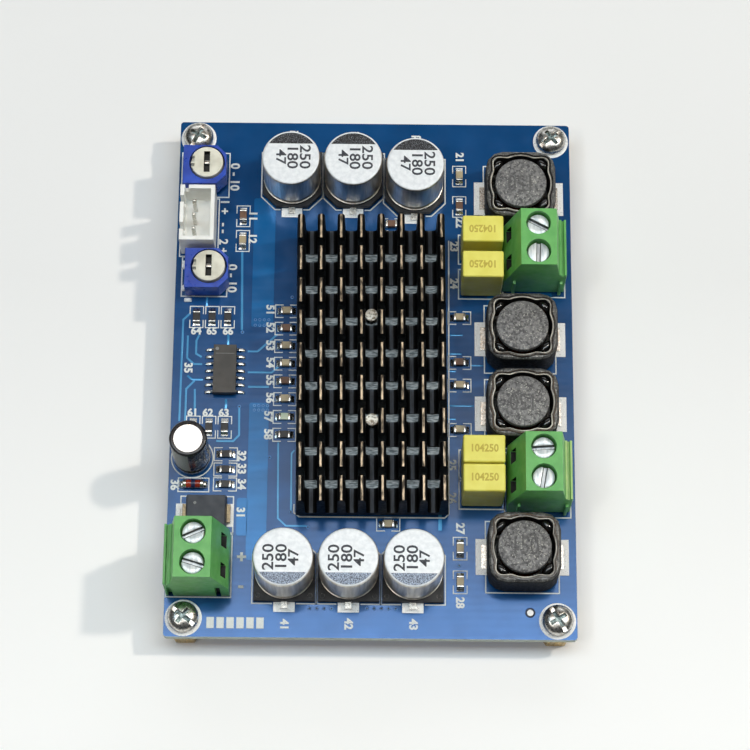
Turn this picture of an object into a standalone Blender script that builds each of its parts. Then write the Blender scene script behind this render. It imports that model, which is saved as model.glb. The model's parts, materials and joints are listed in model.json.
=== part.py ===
"""Two-channel audio amplifier board on four standoffs.

Metres, +Z up. The origin is midway between the feet, on the surface the board stands on.
+X is the side with the coils, +Y the edge with the volume trimmers.
"""

import math

import bmesh
import bpy
from mathutils import Matrix

for leftover in list(bpy.data.objects):
    bpy.data.objects.remove(leftover)

# General clearances
SEAT_GAP = 0.00025
RUNNING_GAP = 0.0003
MERGE_DISTANCE = 0.000001
WELD_SINK = 0.0004
CUT_MARGIN = 0.001
SCREW_STEPS = 12
BORE_SIDES = 10
WELL_SIDES = 20

# Board
BOARD_WIDTH = 0.0690
BOARD_LENGTH = 0.0932
BOARD_THICKNESS = 0.0016
BOARD_CORNER = 0.0006
BOARD_CORNER_STEPS = 2
PAD_HEIGHT = 0.0001
FIXING_INSET_X = 0.0033
FIXING_INSET_Y = 0.0032
LEFT_EDGE = -BOARD_WIDTH / 2
RIGHT_EDGE = BOARD_WIDTH / 2
NEAR_EDGE = -BOARD_LENGTH / 2
FAR_EDGE = BOARD_LENGTH / 2

# Standoffs and corner screws
STANDOFF_HEIGHT = 0.0050
STANDOFF_FLATS = 0.0055
SCREW_DIAMETER = 0.0029
SCREW_HOLE_CLEARANCE = 0.0003
CORNER_HEAD_DIAMETER = 0.0052
CORNER_HEAD_HEIGHT = 0.0021
CORNER_SHANK_LENGTH = 0.0060
CORNER_SLOT_ANGLES = (62.0, 38.0, -38.0, -58.0)
HEAD_CROWN = ((0.0, 1.0), (0.7, 0.88), (1.0, 0.42))
RECESS_WIDTH = 0.0007
RECESS_DEPTH = 0.0009
RECESS_REACH = 0.3

# Amplifier chip and heatsink
CHIP_WIDTH = 0.0061
CHIP_LENGTH = 0.0110
CHIP_HEIGHT = 0.0010
CHIP_LEADS = 16
CHIP_LEAD_PITCH = 0.00065
CHIP_LEAD_WIDTH = 0.00025
CHIP_LEAD_REACH = 0.0010
HEATSINK_PLACE = (-0.0002, -0.0004)
HEATSINK_TURN = math.radians(0.7)
HEATSINK_LENGTH = 0.0508
HEATSINK_BASE = 0.0013
FIN_HEIGHT = 0.0080
FIN_COLUMNS = 8
FIN_PITCH = 0.00342
FIN_CREST = 0.0005
FIN_SHOULDER = 0.00105
FIN_SHOULDER_DROP = 0.0004
FIN_ROOT = 0.00145
FIN_EDGE_EXTRA = 0.0002
VALLEY_FILLET = 0.0005
FILLET_STEPS = 1
FIN_ROWS = 9
ROW_GAP = 0.0015
ROW_CUT_BELOW_VALLEY = 0.0003
HEATSINK_SCREW_DIAMETER = 0.0022
HEATSINK_SCREW_SPREAD = 0.0188
HEATSINK_SCREW_RISE = 0.0014
HEATSINK_SCREW_HEAD_DIAMETER = 0.0040
HEATSINK_SCREW_HEAD_HEIGHT = 0.0014
HEATSINK_BOSS_CLEARANCE = 0.0003

# Large surface-mounted electrolytic capacitors
CAN_DIAMETER = 0.0100
CAN_HEIGHT = 0.0092
CAN_SHOULDER = 0.0006
CAN_GROOVE_DEPTH = 0.0004
CAN_GROOVE_LOW = 0.0005
CAN_GROOVE_HIGH = 0.0016
CAN_STEPS = 22
CAN_BASE_BORDER = 0.00015
CAN_BASE_SIZE = CAN_DIAMETER + 2 * CAN_BASE_BORDER
CAN_BASE_HEIGHT = 0.0009
CAN_BASE_CHAMFER = 0.0024
CAN_LEAD_WIDTH = 0.0011
CAN_LEAD_RISE = 0.0001
CAN_LEAD_THICKNESS = 0.0003
CAN_LEAD_REACH = 0.0012
CAN_PAD_WIDTH = 0.0036
CAN_PAD_REACH = 0.0017
CAN_SPACING = 0.00045
CAN_MIDDLE_X = -0.0037
CAN_ROW_INSET = 0.0112
CAN_SETBACK = 0.0010

# Coils
COIL_SIZE = 0.0121
COIL_HEIGHT = 0.0070
COIL_CORNER = 0.0030
COIL_EDGE = 0.0004
COIL_FLOOR = 0.0008
COIL_WELL_RADIUS = 0.0051
COIL_WELL_LOBE = 0.0012
COIL_WELL_POINTS = 36
COIL_CORNER_STEPS = 3
COIL_STEPS = 18
COIL_CORE_DIAMETER = 0.0089
COIL_CORE_RISE = 0.0003
COIL_FLANGE = 0.0011
COIL_WINDING_DIAMETER = 0.0080
COIL_PAD_LENGTH = 0.0062
COIL_PAD_WIDTH = 0.0030
COIL_PAD_REACH = 0.0018
COIL_INSET = 0.0091
COIL_FAR_INSET = 0.0142
COIL_NEAR_INSET = 0.0141
COIL_MIDDLE_ROWS = (0.0062, -0.0073)

# Box film capacitors
FILM_WIDTH = 0.0070
FILM_DEPTH = 0.00475
FILM_HEIGHT = 0.0100
FILM_EDGE = 0.0002
FILM_FOOT = 0.0008
FILM_FOOT_HEIGHT = 0.0003
FILM_INSET = 0.01585
FILM_FAR_INSETS = (0.02385, 0.0303)
FILM_NEAR_INSETS = (0.0301, 0.0251)

# Screw terminals, across them from the board's middle outwards
TERMINAL_LENGTH = 0.0102
TERMINAL_HEIGHT = 0.0135
TERMINAL_PITCH = 0.00508
TERMINAL_INNER = 0.0055
TERMINAL_OUTER = 0.0051
TERMINAL_TOP_INNER = 0.0030
TERMINAL_TOP_OUTER = 0.0031
TERMINAL_SLOPE_FOOT = 0.0050
TERMINAL_LEDGE = 0.0083
TERMINAL_LEDGE_IN = 0.0039
TERMINAL_GROOVE_WIDTH = 0.0004
TERMINAL_GROOVE_DEPTH = 0.0006
CHAMBER_LENGTH = 0.0041
CHAMBER_DEPTH = 0.0048
CHAMBER_FLOOR = 0.0012
NECK_HEIGHT = 0.0008
WELL_DIAMETER = 0.0042
ENTRY_WIDTH = 0.0036
ENTRY_LOW = 0.0019
ENTRY_HIGH = 0.0054
WINDOW_WIDTH = 0.0023
WINDOW_SILL = 0.0004
WINDOW_HEIGHT = 0.0026
KEY_WIDTH = 0.0008
KEY_REACH = 0.0006
KEY_HEIGHT = 0.0058
KEY_PLACES = (-0.0037, 0.0043)
CONTACT_WIDTH = 0.0018
CONTACT_THICKNESS = 0.0005
CONTACT_REACH = 0.0040
TERMINAL_SCREW_HEAD_DIAMETER = 0.0037
TERMINAL_SCREW_HEAD_HEIGHT = 0.0015
TERMINAL_SCREW_SHANK = 0.0024
TERMINAL_SLOT_WIDTH = 0.0006
TERMINAL_SLOT_DEPTH = 0.0008
CLAMP_STRAP = 0.0007
CLAMP_ROOF = 0.0010
CLAMP_SIDE = 0.0004
CLAMP_TRAVEL = 0.0025
POWER_INSET = (0.00545, 0.0120)
LEFT_SPEAKER_INSET = (0.0066, 0.0266)
RIGHT_SPEAKER_INSET = (0.0062, 0.0270)

# Volume trimmers
TRIMMER_WIDTH = 0.0075
TRIMMER_LENGTH = 0.0072
TRIMMER_HEIGHT = 0.0047
TRIMMER_CHAMFER = 0.0016
TRIMMER_FOOT = 0.0010
TRIMMER_FOOT_HEIGHT = 0.0004
DIAL_DIAMETER = 0.0057
DIAL_RISE = 0.0004
DIAL_EDGE = 0.0002
DIAL_STEPS = 20
DIAL_DEPTH = 0.0024
DIAL_SLOT_WIDTH = 0.0012
DIAL_SLOT_LENGTH = 0.0034
DIAL_SLOT_DEPTH = 0.0012
DIAL_NOTCH_WIDTH = 0.0005
DIAL_NOTCH_REACH = 0.0006
DIAL_NOTCH_SPREAD = 0.00164
DIAL_OFFSET = (0.0004, 0.0003)
TRIMMER_INSETS_X = (0.0048, 0.00565)
TRIMMER_SOCKET_GAPS = (0.00125, 0.00065)

# Input socket
SOCKET_WIDTH = 0.0060
SOCKET_LENGTH = 0.0102
SOCKET_HEIGHT = 0.0070
SOCKET_WALL = 0.0007
SOCKET_FLOOR = 0.0015
SOCKET_PINS = 3
SOCKET_PIN_PITCH = 0.00254
SOCKET_PIN_SIZE = 0.00064
SOCKET_PIN_TOP = 0.0062
SOCKET_PIN_OFFSET = -0.0006
SOCKET_SLOT_WIDTH = 0.0012
SOCKET_SLOT_SPREAD = 0.0050
SOCKET_SLOT_FLOOR = 0.0030
SOCKET_INSET = (0.0039, 0.02015)

# Small upright electrolytic capacitor
SLEEVE_DIAMETER = 0.0063
SLEEVE_HEIGHT = 0.0113
SLEEVE_LIP = 0.0004
SLEEVE_GROOVE = 0.0003
SLEEVE_GROOVE_HEIGHT = 0.0016
SLEEVE_INSET = (0.00395, 0.0310)
SLEEVE_STEPS = 18

# Preamplifier chip
SMALL_CHIP_WIDTH = 0.0039
SMALL_CHIP_LENGTH = 0.00865
SMALL_CHIP_HEIGHT = 0.0014
SMALL_CHIP_LEADS = 7
SMALL_CHIP_LEAD_PITCH = 0.00127
SMALL_CHIP_LEAD_WIDTH = 0.00042
SMALL_CHIP_LEAD_REACH = 0.0011
SMALL_CHIP_INSET = 0.0091
SMALL_CHIP_Y = -0.0001
LEAD_THICKNESS = 0.0002

# Power diode
DIODE_WIDTH = 0.0069
DIODE_LENGTH = 0.0058
DIODE_HEIGHT = 0.0022
DIODE_DRAFT = 0.0003
DIODE_LEAD_LENGTH = 0.0031
DIODE_LEAD_REACH = 0.0006
DIODE_LEAD_TOP = 0.0012
DIODE_PAD_LENGTH = 0.0040
DIODE_PAD_REACH = 0.0018
DIODE_INSET = (0.0067, 0.0209)

# Small parts soldered to the board
SMALL_LENGTH = 0.0020
SMALL_WIDTH = 0.00125
SMALL_BAND = 0.00035
SMALL_PAD_REACH = 0.0006
SOLDER_CLIMB = 0.6
RESISTOR_HEIGHT = 0.0006
CERAMIC_HEIGHT = 0.0009
LEFT_COLUMN_X = -0.0150
LEFT_COLUMN_TOP = 0.0110
LEFT_COLUMN_PITCH = 0.0032
LEFT_COLUMN_HEIGHTS = (CERAMIC_HEIGHT,) * 6 + (RESISTOR_HEIGHT,) * 2
RIGHT_COLUMN_X = 0.01495
RIGHT_COLUMN_FLAT_Y = (0.01005, 0.00185, -0.00225, -0.01025)
ROW_END_CERAMIC_GAP = 0.0028
ROW_END_FAR_INSETS = (0.0100, 0.0158)
ROW_END_NEAR_INSETS = (0.0155, 0.0097)
INPUT_CERAMIC_INSET = 0.01155
INPUT_CERAMIC_FAR_INSETS = (0.01795, 0.0226)
END_CERAMIC_PLACES = ((0.00305, 0.0273), (0.00285, -0.0270))
RESISTOR_COLUMN_INSETS = (0.0039, 0.0066, 0.0093)
RESISTOR_ROWS_Y = (0.0098, -0.01015)
RESISTOR_STACK_INSET = 0.00963
RESISTOR_STACK_NEAR_INSETS = (0.03165, 0.02895, 0.02633)
GLASS_DIODE_INSET = (0.0043, 0.0262)
GLASS_DIODE_LENGTH = 0.0035
GLASS_DIODE_DIAMETER = 0.0015
GLASS_DIODE_SIDES = 10

# Solder joints under the board
JOINT_DIAMETER = 0.0018
JOINT_TIP = 0.0008
JOINT_HEIGHT = 0.0010
JOINT_SIDES = 6
FILM_LEAD_SPREAD = 0.0050
SLEEVE_LEAD_SPREAD = 0.0025
TRIMMER_LEAD_X = -0.0025
TRIMMER_LEAD_SPREAD = 0.0050
TERMINAL_LEAD_X = 0.0003

# Heights and places worked out from the sizes above
BOARD_LOW = STANDOFF_HEIGHT + SEAT_GAP
BOARD_TOP = BOARD_LOW + BOARD_THICKNESS
SEAT = BOARD_TOP + PAD_HEIGHT + SEAT_GAP
HEATSINK_LOW = SEAT + CHIP_HEIGHT + SEAT_GAP
VALLEY_LEVEL = HEATSINK_LOW + HEATSINK_BASE
HEATSINK_WIDTH = (FIN_COLUMNS - 1) * FIN_PITCH + FIN_ROOT + 2 * FIN_EDGE_EXTRA
SCREW_HOLE_DIAMETER = SCREW_DIAMETER + 2 * SCREW_HOLE_CLEARANCE
CLAMP_LENGTH = CHAMBER_LENGTH - 2 * RUNNING_GAP
CLAMP_DEPTH = CHAMBER_DEPTH - 2 * RUNNING_GAP
CLAMP_LOW = CHAMBER_FLOOR + RUNNING_GAP
CLAMP_WINDOW_LOW = CLAMP_LOW + CLAMP_STRAP
CLAMP_WINDOW_HIGH = CLAMP_WINDOW_LOW + ENTRY_HIGH - CHAMBER_FLOOR - RUNNING_GAP
CLAMP_HIGH = CLAMP_WINDOW_HIGH + CLAMP_ROOF
CHAMBER_ROOF = CLAMP_HIGH + CLAMP_TRAVEL + RUNNING_GAP
CONTACT_TOP = CLAMP_WINDOW_HIGH - RUNNING_GAP
SCREW_SEAT = CHAMBER_ROOF + NECK_HEIGHT + RUNNING_GAP
FIXING_PLACES = (
    (LEFT_EDGE + FIXING_INSET_X, FAR_EDGE - FIXING_INSET_Y),
    (RIGHT_EDGE - FIXING_INSET_X, FAR_EDGE - FIXING_INSET_Y),
    (LEFT_EDGE + FIXING_INSET_X, NEAR_EDGE + FIXING_INSET_Y),
    (RIGHT_EDGE - FIXING_INSET_X, NEAR_EDGE + FIXING_INSET_Y),
)
CAN_PITCH = CAN_BASE_SIZE + CAN_SPACING
CAN_PLACES = (
    (CAN_MIDDLE_X - CAN_PITCH, FAR_EDGE - CAN_ROW_INSET),
    (CAN_MIDDLE_X, FAR_EDGE - CAN_ROW_INSET),
    (CAN_MIDDLE_X + CAN_PITCH, FAR_EDGE - CAN_ROW_INSET - CAN_SETBACK),
    (CAN_MIDDLE_X - CAN_PITCH, NEAR_EDGE + CAN_ROW_INSET),
    (CAN_MIDDLE_X, NEAR_EDGE + CAN_ROW_INSET),
    (CAN_MIDDLE_X + CAN_PITCH, NEAR_EDGE + CAN_ROW_INSET),
)
CAN_ROW_END = CAN_MIDDLE_X + CAN_PITCH + CAN_BASE_SIZE / 2
COIL_ROWS = (FAR_EDGE - COIL_FAR_INSET, *COIL_MIDDLE_ROWS, NEAR_EDGE + COIL_NEAR_INSET)
COIL_PLACES = tuple((RIGHT_EDGE - COIL_INSET, y) for y in COIL_ROWS)
FILM_ROWS = [FAR_EDGE - inset for inset in FILM_FAR_INSETS]
FILM_ROWS += [NEAR_EDGE + inset for inset in FILM_NEAR_INSETS]
FILM_PLACES = tuple((RIGHT_EDGE - FILM_INSET, y) for y in FILM_ROWS)
POWER_PLACE = (LEFT_EDGE + POWER_INSET[0], NEAR_EDGE + POWER_INSET[1])
LEFT_SPEAKER_PLACE = (RIGHT_EDGE - LEFT_SPEAKER_INSET[0], FAR_EDGE - LEFT_SPEAKER_INSET[1])
RIGHT_SPEAKER_PLACE = (RIGHT_EDGE - RIGHT_SPEAKER_INSET[0], NEAR_EDGE + RIGHT_SPEAKER_INSET[1])
TERMINALS = (
    ("power_terminal", POWER_PLACE, 180.0, (24.0, -17.0)),
    ("left_speaker_terminal", LEFT_SPEAKER_PLACE, 0.0, (-28.0, 88.0)),
    ("right_speaker_terminal", RIGHT_SPEAKER_PLACE, 0.0, (4.0, 80.0)),
)
SOCKET_PLACE = (LEFT_EDGE + SOCKET_INSET[0], FAR_EDGE - SOCKET_INSET[1])
SOCKET_TO_TRIMMER = (SOCKET_LENGTH + TRIMMER_LENGTH) / 2
TRIMMER_PLACES = (
    (LEFT_EDGE + TRIMMER_INSETS_X[0], SOCKET_PLACE[1] + SOCKET_TO_TRIMMER + TRIMMER_SOCKET_GAPS[0]),
    (LEFT_EDGE + TRIMMER_INSETS_X[1], SOCKET_PLACE[1] - SOCKET_TO_TRIMMER - TRIMMER_SOCKET_GAPS[1]),
)
SLEEVE_PLACE = (LEFT_EDGE + SLEEVE_INSET[0], NEAR_EDGE + SLEEVE_INSET[1])
SMALL_CHIP_PLACE = (LEFT_EDGE + SMALL_CHIP_INSET, SMALL_CHIP_Y)
DIODE_PLACE = (LEFT_EDGE + DIODE_INSET[0], NEAR_EDGE + DIODE_INSET[1])
GLASS_DIODE_PLACE = (LEFT_EDGE + GLASS_DIODE_INSET[0], NEAR_EDGE + GLASS_DIODE_INSET[1])


# Materials

def material(name, colour, roughness, metallic=0.0):
    made = bpy.data.materials.new(name)
    made.use_nodes = True
    shader = made.node_tree.nodes["Principled BSDF"]
    shader.inputs["Base Color"].default_value = (*colour, 1.0)
    shader.inputs["Roughness"].default_value = roughness
    shader.inputs["Metallic"].default_value = metallic
    made.diffuse_color = (*colour, 1.0)
    return made


BLUE_MASK = material("blue_solder_mask", (0.02, 0.10, 0.32), 0.35)
BLACK_ANODISED = material("black_anodised", (0.012, 0.012, 0.014), 0.45, 0.6)
BRIGHT_STEEL = material("bright_steel", (0.62, 0.62, 0.62), 0.3, 1.0)
HEX_BRASS = material("hex_brass", (0.72, 0.50, 0.20), 0.35, 1.0)
CAN_ALUMINIUM = material("can_aluminium", (0.82, 0.82, 0.82), 0.35, 0.7)
BLACK_PLASTIC = material("black_plastic", (0.02, 0.02, 0.02), 0.5)
GREY_FERRITE = material("grey_ferrite", (0.13, 0.13, 0.13), 0.6, 0.1)
YELLOW_RESIN = material("yellow_resin", (0.80, 0.72, 0.12), 0.4)
GREEN_PLASTIC = material("green_plastic", (0.10, 0.42, 0.10), 0.4)
PLATED_CLAMP = material("plated_clamp", (0.65, 0.62, 0.55), 0.35, 1.0)
TRIMMER_BLUE = material("trimmer_blue", (0.02, 0.08, 0.42), 0.4)
DIAL_IVORY = material("dial_ivory", (0.72, 0.68, 0.56), 0.5)
SOCKET_WHITE = material("socket_white", (0.80, 0.80, 0.76), 0.5)
BLACK_SLEEVE = material("black_sleeve", (0.02, 0.02, 0.025), 0.35)
CHIP_BLACK = material("chip_black", (0.03, 0.03, 0.03), 0.6)


# Outlines, each a list of (x, y) counter-clockwise

def rectangle(width, length, centre=(0.0, 0.0)):
    x, y = centre
    a, b = width / 2, length / 2
    return [(x - a, y - b), (x + a, y - b), (x + a, y + b), (x - a, y + b)]


def rounded_rectangle(width, length, radius, steps, centre=(0.0, 0.0)):
    points = []
    for corner, (sx, sy) in enumerate(((1, 1), (-1, 1), (-1, -1), (1, -1))):
        cx = centre[0] + sx * (width / 2 - radius)
        cy = centre[1] + sy * (length / 2 - radius)
        for step in range(steps + 1):
            angle = math.pi / 2 * (corner + step / steps)
            points.append((cx + radius * math.cos(angle), cy + radius * math.sin(angle)))
    return points


def polygon(diameter, sides, centre=(0.0, 0.0), start=0.0):
    angles = [start + 2 * math.pi * side / sides for side in range(sides)]
    return [
        (centre[0] + diameter / 2 * math.cos(a), centre[1] + diameter / 2 * math.sin(a)) for a in angles
    ]


def lobed_circle(radius, lobe, points):
    """A circle that swells towards its four diagonals."""
    outline = []
    for step in range(points):
        angle = 2 * math.pi * step / points
        swell = max(0.0, -math.cos(4 * angle)) ** 2
        reach = radius + lobe * swell
        outline.append((reach * math.cos(angle), reach * math.sin(angle)))
    return outline


def cross(long_arm, short_arm, width):
    """A plus sign with one pair of arms longer than the other."""
    half = width / 2
    return [
        (-long_arm, -half), (-half, -half), (-half, -short_arm), (half, -short_arm),
        (half, -half), (long_arm, -half), (long_arm, half), (half, half),
        (half, short_arm), (-half, short_arm), (-half, half), (-long_arm, half),
    ]


def chamfered_square(size, chamfer):
    """A square whose two corners on the -Y side are cut off."""
    a = size / 2
    return [(-a + chamfer, -a), (a - chamfer, -a), (a, -a + chamfer), (a, a), (-a, a), (-a, -a + chamfer)]


# Shapes added to a mesh

def add_prism(bm, outline, low, high):
    """Raises a flat outline from one height to another."""
    face = bm.faces.new([bm.verts.new((x, y, low)) for x, y in outline])
    raised = bmesh.ops.extrude_face_region(bm, geom=[face])["geom"]
    moved = [item for item in raised if isinstance(item, bmesh.types.BMVert)]
    bmesh.ops.translate(bm, verts=moved, vec=(0.0, 0.0, high - low))
    return list(face.verts) + moved


def add_box(bm, low, high):
    outline = [(low[0], low[1]), (high[0], low[1]), (high[0], high[1]), (low[0], high[1])]
    return add_prism(bm, outline, low[2], high[2])


def add_side_prism(bm, profile, start, end):
    """Draws a profile of (x, z) points along Y."""
    face = bm.faces.new([bm.verts.new((x, start, z)) for x, z in profile])
    drawn = bmesh.ops.extrude_face_region(bm, geom=[face])["geom"]
    moved = [item for item in drawn if isinstance(item, bmesh.types.BMVert)]
    bmesh.ops.translate(bm, verts=moved, vec=(0.0, end - start, 0.0))
    return list(face.verts) + moved


def add_turned(bm, profile, steps, centre=(0.0, 0.0)):
    """Spins a profile of (radius, z) points about a vertical axis."""
    closed = profile[0][0] > 0.0
    verts = [bm.verts.new((centre[0] + r, centre[1], z)) for r, z in profile]
    pairs = list(zip(verts, verts[1:]))
    if closed:
        pairs.append((verts[-1], verts[0]))
    edges = [bm.edges.new(pair) for pair in pairs]
    bmesh.ops.spin(
        bm,
        geom=verts + edges,
        cent=(centre[0], centre[1], 0.0),
        axis=(0.0, 0.0, 1.0),
        angle=2 * math.pi,
        steps=steps,
        use_merge=True,
    )
    bmesh.ops.remove_doubles(bm, verts=bm.verts, dist=MERGE_DISTANCE)


def turn_and_move(bm, verts, angle, place):
    bmesh.ops.transform(bm, matrix=Matrix.Rotation(angle, 4, "Z"), verts=verts)
    bmesh.ops.translate(bm, verts=verts, vec=(place[0], place[1], 0.0))


# Objects

def place_object(name, bm, look, place=(0.0, 0.0), height=0.0, angle=0.0, smooth=False):
    bmesh.ops.recalc_face_normals(bm, faces=bm.faces)
    mesh = bpy.data.meshes.new(name)
    bm.to_mesh(mesh)
    bm.free()
    if smooth:
        mesh.shade_smooth()
        mesh.set_sharp_from_angle(angle=math.radians(35))
    mesh.materials.append(look)
    made = bpy.data.objects.new(name, mesh)
    made.location = (place[0], place[1], height)
    made.rotation_euler = (0.0, 0.0, angle)
    bpy.context.collection.objects.link(made)
    return made


def helper_object(name, bm, like):
    """A cutter or an addition that stands where another object does."""
    helper = place_object(name, bm, like.data.materials[0])
    helper.location = like.location
    helper.rotation_euler = like.rotation_euler
    helper.hide_render = True
    helper.display_type = "WIRE"
    return helper


def combine(target, helper, operation):
    boolean = target.modifiers.new(helper.name, "BOOLEAN")
    boolean.operation = operation
    boolean.solver = "EXACT"
    boolean.object = helper


def cut(target, bm, name):
    combine(target, helper_object(target.name + "_" + name, bm, target), "DIFFERENCE")


def weld(target, bm, name):
    combine(target, helper_object(target.name + "_" + name, bm, target), "UNION")


def soften(target, width, segments=1):
    bevel = target.modifiers.new("softened_edges", "BEVEL")
    bevel.width = width
    bevel.segments = segments
    bevel.limit_method = "ANGLE"
    bevel.angle_limit = math.radians(40)


def heatsink_point(x, y):
    """A place in the heatsink's own frame, given in the board's frame."""
    c, s = math.cos(HEATSINK_TURN), math.sin(HEATSINK_TURN)
    return HEATSINK_PLACE[0] + c * x - s * y, HEATSINK_PLACE[1] + s * x + c * y


HEATSINK_SCREW_PLACES = tuple(heatsink_point(0.0, side * HEATSINK_SCREW_SPREAD / 2) for side in (1, -1))


# Board with its pads and the smallest parts

def small_part_profile(height):
    """Side view of a chip between its two fillets of solder."""
    end = SMALL_LENGTH / 2
    pad = end + SMALL_PAD_REACH
    right = [(pad, -WELD_SINK), (pad, 0.0), (end, SOLDER_CLIMB * height), (end, height)]
    return right + [(-x, z) for x, z in reversed(right)]


def add_small_part(bm, place, height, upright):
    verts = add_side_prism(bm, small_part_profile(height), -SMALL_WIDTH / 2, SMALL_WIDTH / 2)
    turn_and_move(bm, verts, math.pi / 2 if upright else 0.0, place)


def add_glass_diode(bm, place):
    """A glass tube lying along X, its two end caps on their pads."""
    radius = GLASS_DIODE_DIAMETER / 2
    flat_down = math.pi / GLASS_DIODE_SIDES
    ring = polygon(GLASS_DIODE_DIAMETER, GLASS_DIODE_SIDES, start=flat_down)
    tube = [(y, z + radius + PAD_HEIGHT) for y, z in ring]
    half = GLASS_DIODE_LENGTH / 2
    verts = add_side_prism(bm, tube, -half, half)
    turn_and_move(bm, verts, math.pi / 2, place)
    for side in (1, -1):
        block = rectangle(2 * SMALL_BAND, GLASS_DIODE_DIAMETER, (place[0] + side * half, place[1]))
        add_prism(bm, block, -WELD_SINK, SOLDER_CLIMB * GLASS_DIODE_DIAMETER)


def small_part_places():
    """Every small chip as (place, height, upright)."""
    places = []
    for row, height in enumerate(LEFT_COLUMN_HEIGHTS):
        places.append(((LEFT_COLUMN_X, LEFT_COLUMN_TOP - row * LEFT_COLUMN_PITCH), height, False))
    for y in RIGHT_COLUMN_FLAT_Y:
        places.append(((RIGHT_COLUMN_X, y), CERAMIC_HEIGHT, False))
    row_end_x = CAN_ROW_END + ROW_END_CERAMIC_GAP
    for inset in ROW_END_FAR_INSETS:
        places.append(((row_end_x, FAR_EDGE - inset), CERAMIC_HEIGHT, True))
    for inset in ROW_END_NEAR_INSETS:
        places.append(((row_end_x, NEAR_EDGE + inset), CERAMIC_HEIGHT, True))
    for inset in INPUT_CERAMIC_FAR_INSETS:
        places.append(((LEFT_EDGE + INPUT_CERAMIC_INSET, FAR_EDGE - inset), CERAMIC_HEIGHT, True))
    for place in END_CERAMIC_PLACES:
        places.append((place, CERAMIC_HEIGHT, False))
    for y in RESISTOR_ROWS_Y:
        for inset in RESISTOR_COLUMN_INSETS:
            places.append(((LEFT_EDGE + inset, y), RESISTOR_HEIGHT, True))
    for inset in RESISTOR_STACK_NEAR_INSETS:
        place = (LEFT_EDGE + RESISTOR_STACK_INSET, NEAR_EDGE + inset)
        places.append((place, RESISTOR_HEIGHT, False))
    return places


def add_pads(bm):
    """Tinned areas that stand just proud of the board."""
    for x, y in CAN_PLACES:
        for side in (1, -1):
            middle = y + side * (CAN_BASE_SIZE / 2 + CAN_PAD_REACH / 2)
            add_prism(bm, rectangle(CAN_PAD_WIDTH, CAN_PAD_REACH, (x, middle)), -WELD_SINK, PAD_HEIGHT)
    for x, y in COIL_PLACES:
        for side in (1, -1):
            middle = x + side * (COIL_SIZE / 2 + COIL_PAD_REACH - COIL_PAD_WIDTH / 2)
            add_prism(bm, rectangle(COIL_PAD_WIDTH, COIL_PAD_LENGTH, (middle, y)), -WELD_SINK, PAD_HEIGHT)
    for side in (1, -1):
        middle = DIODE_PLACE[0] + side * (DIODE_WIDTH / 2 + DIODE_PAD_REACH / 2)
        outline = rectangle(DIODE_PAD_REACH, DIODE_PAD_LENGTH, (middle, DIODE_PLACE[1]))
        add_prism(bm, outline, -WELD_SINK, PAD_HEIGHT)


def lead_places():
    """Where a lead passes through the board and is soldered underneath."""
    places = []
    for name, (x, y), degrees, slots in TERMINALS:
        places += [(x + TERMINAL_LEAD_X, y + way) for way in terminal_ways()]
    for x, y in FILM_PLACES:
        places += [(x + side * FILM_LEAD_SPREAD / 2, y) for side in (1, -1)]
    for x, y in TRIMMER_PLACES:
        places += [(x + TRIMMER_LEAD_X, y + side * TRIMMER_LEAD_SPREAD / 2) for side in (1, -1)]
        places.append((x - TRIMMER_LEAD_X, y))
    x, y = SLEEVE_PLACE
    places += [(x, y + side * SLEEVE_LEAD_SPREAD / 2) for side in (1, -1)]
    x, y = SOCKET_PLACE
    places += [(x + SOCKET_PIN_OFFSET, y + pin) for pin in socket_pins()]
    return places


def add_solder_joint(bm, place):
    """A cone of solder round a cut lead, hanging from the underside."""
    foot = polygon(JOINT_DIAMETER, JOINT_SIDES, place)
    verts = add_prism(bm, foot, -BOARD_THICKNESS + WELD_SINK, -BOARD_THICKNESS - JOINT_HEIGHT)
    lowered = verts[len(foot):]
    narrowing = Matrix.Scale(JOINT_TIP / JOINT_DIAMETER, 4)
    middle = Matrix.Translation((place[0], place[1], -BOARD_THICKNESS - JOINT_HEIGHT))
    bmesh.ops.transform(bm, matrix=middle @ narrowing @ middle.inverted(), verts=lowered)


def make_board():
    slab = bmesh.new()
    outline = rounded_rectangle(BOARD_WIDTH, BOARD_LENGTH, BOARD_CORNER, BOARD_CORNER_STEPS)
    add_prism(slab, outline, -BOARD_THICKNESS, 0.0)
    board = place_object("circuit_board", slab, BLUE_MASK, height=BOARD_TOP)

    soldered = bmesh.new()
    add_pads(soldered)
    for place, height, upright in small_part_places():
        add_small_part(soldered, place, height, upright)
    add_glass_diode(soldered, GLASS_DIODE_PLACE)
    for place in lead_places():
        add_solder_joint(soldered, place)
    weld(board, soldered, "soldered_parts")
    board.modifiers[-1].use_self = True

    holes = bmesh.new()
    low, high = -BOARD_THICKNESS - CUT_MARGIN, CUT_MARGIN
    for place in FIXING_PLACES:
        add_prism(holes, polygon(SCREW_HOLE_DIAMETER, BORE_SIDES, place), low, high)
    bore = HEATSINK_SCREW_DIAMETER + 2 * SCREW_HOLE_CLEARANCE
    for place in HEATSINK_SCREW_PLACES:
        add_prism(holes, polygon(bore, BORE_SIDES, place), low, high)
    cut(board, holes, "holes")


# Standoffs and the screws at the corners

def pan_head_profile(head_diameter, head_height, shank_diameter, shank_length):
    """Half profile of a screw whose head sits on z = 0, from the crown down to the tip."""
    r = head_diameter / 2
    s = shank_diameter / 2
    crown = [(across * r, up * head_height) for across, up in HEAD_CROWN]
    return crown + [(r, 0.0), (s, 0.0), (s, -shank_length), (0.0, -shank_length)]


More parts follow.
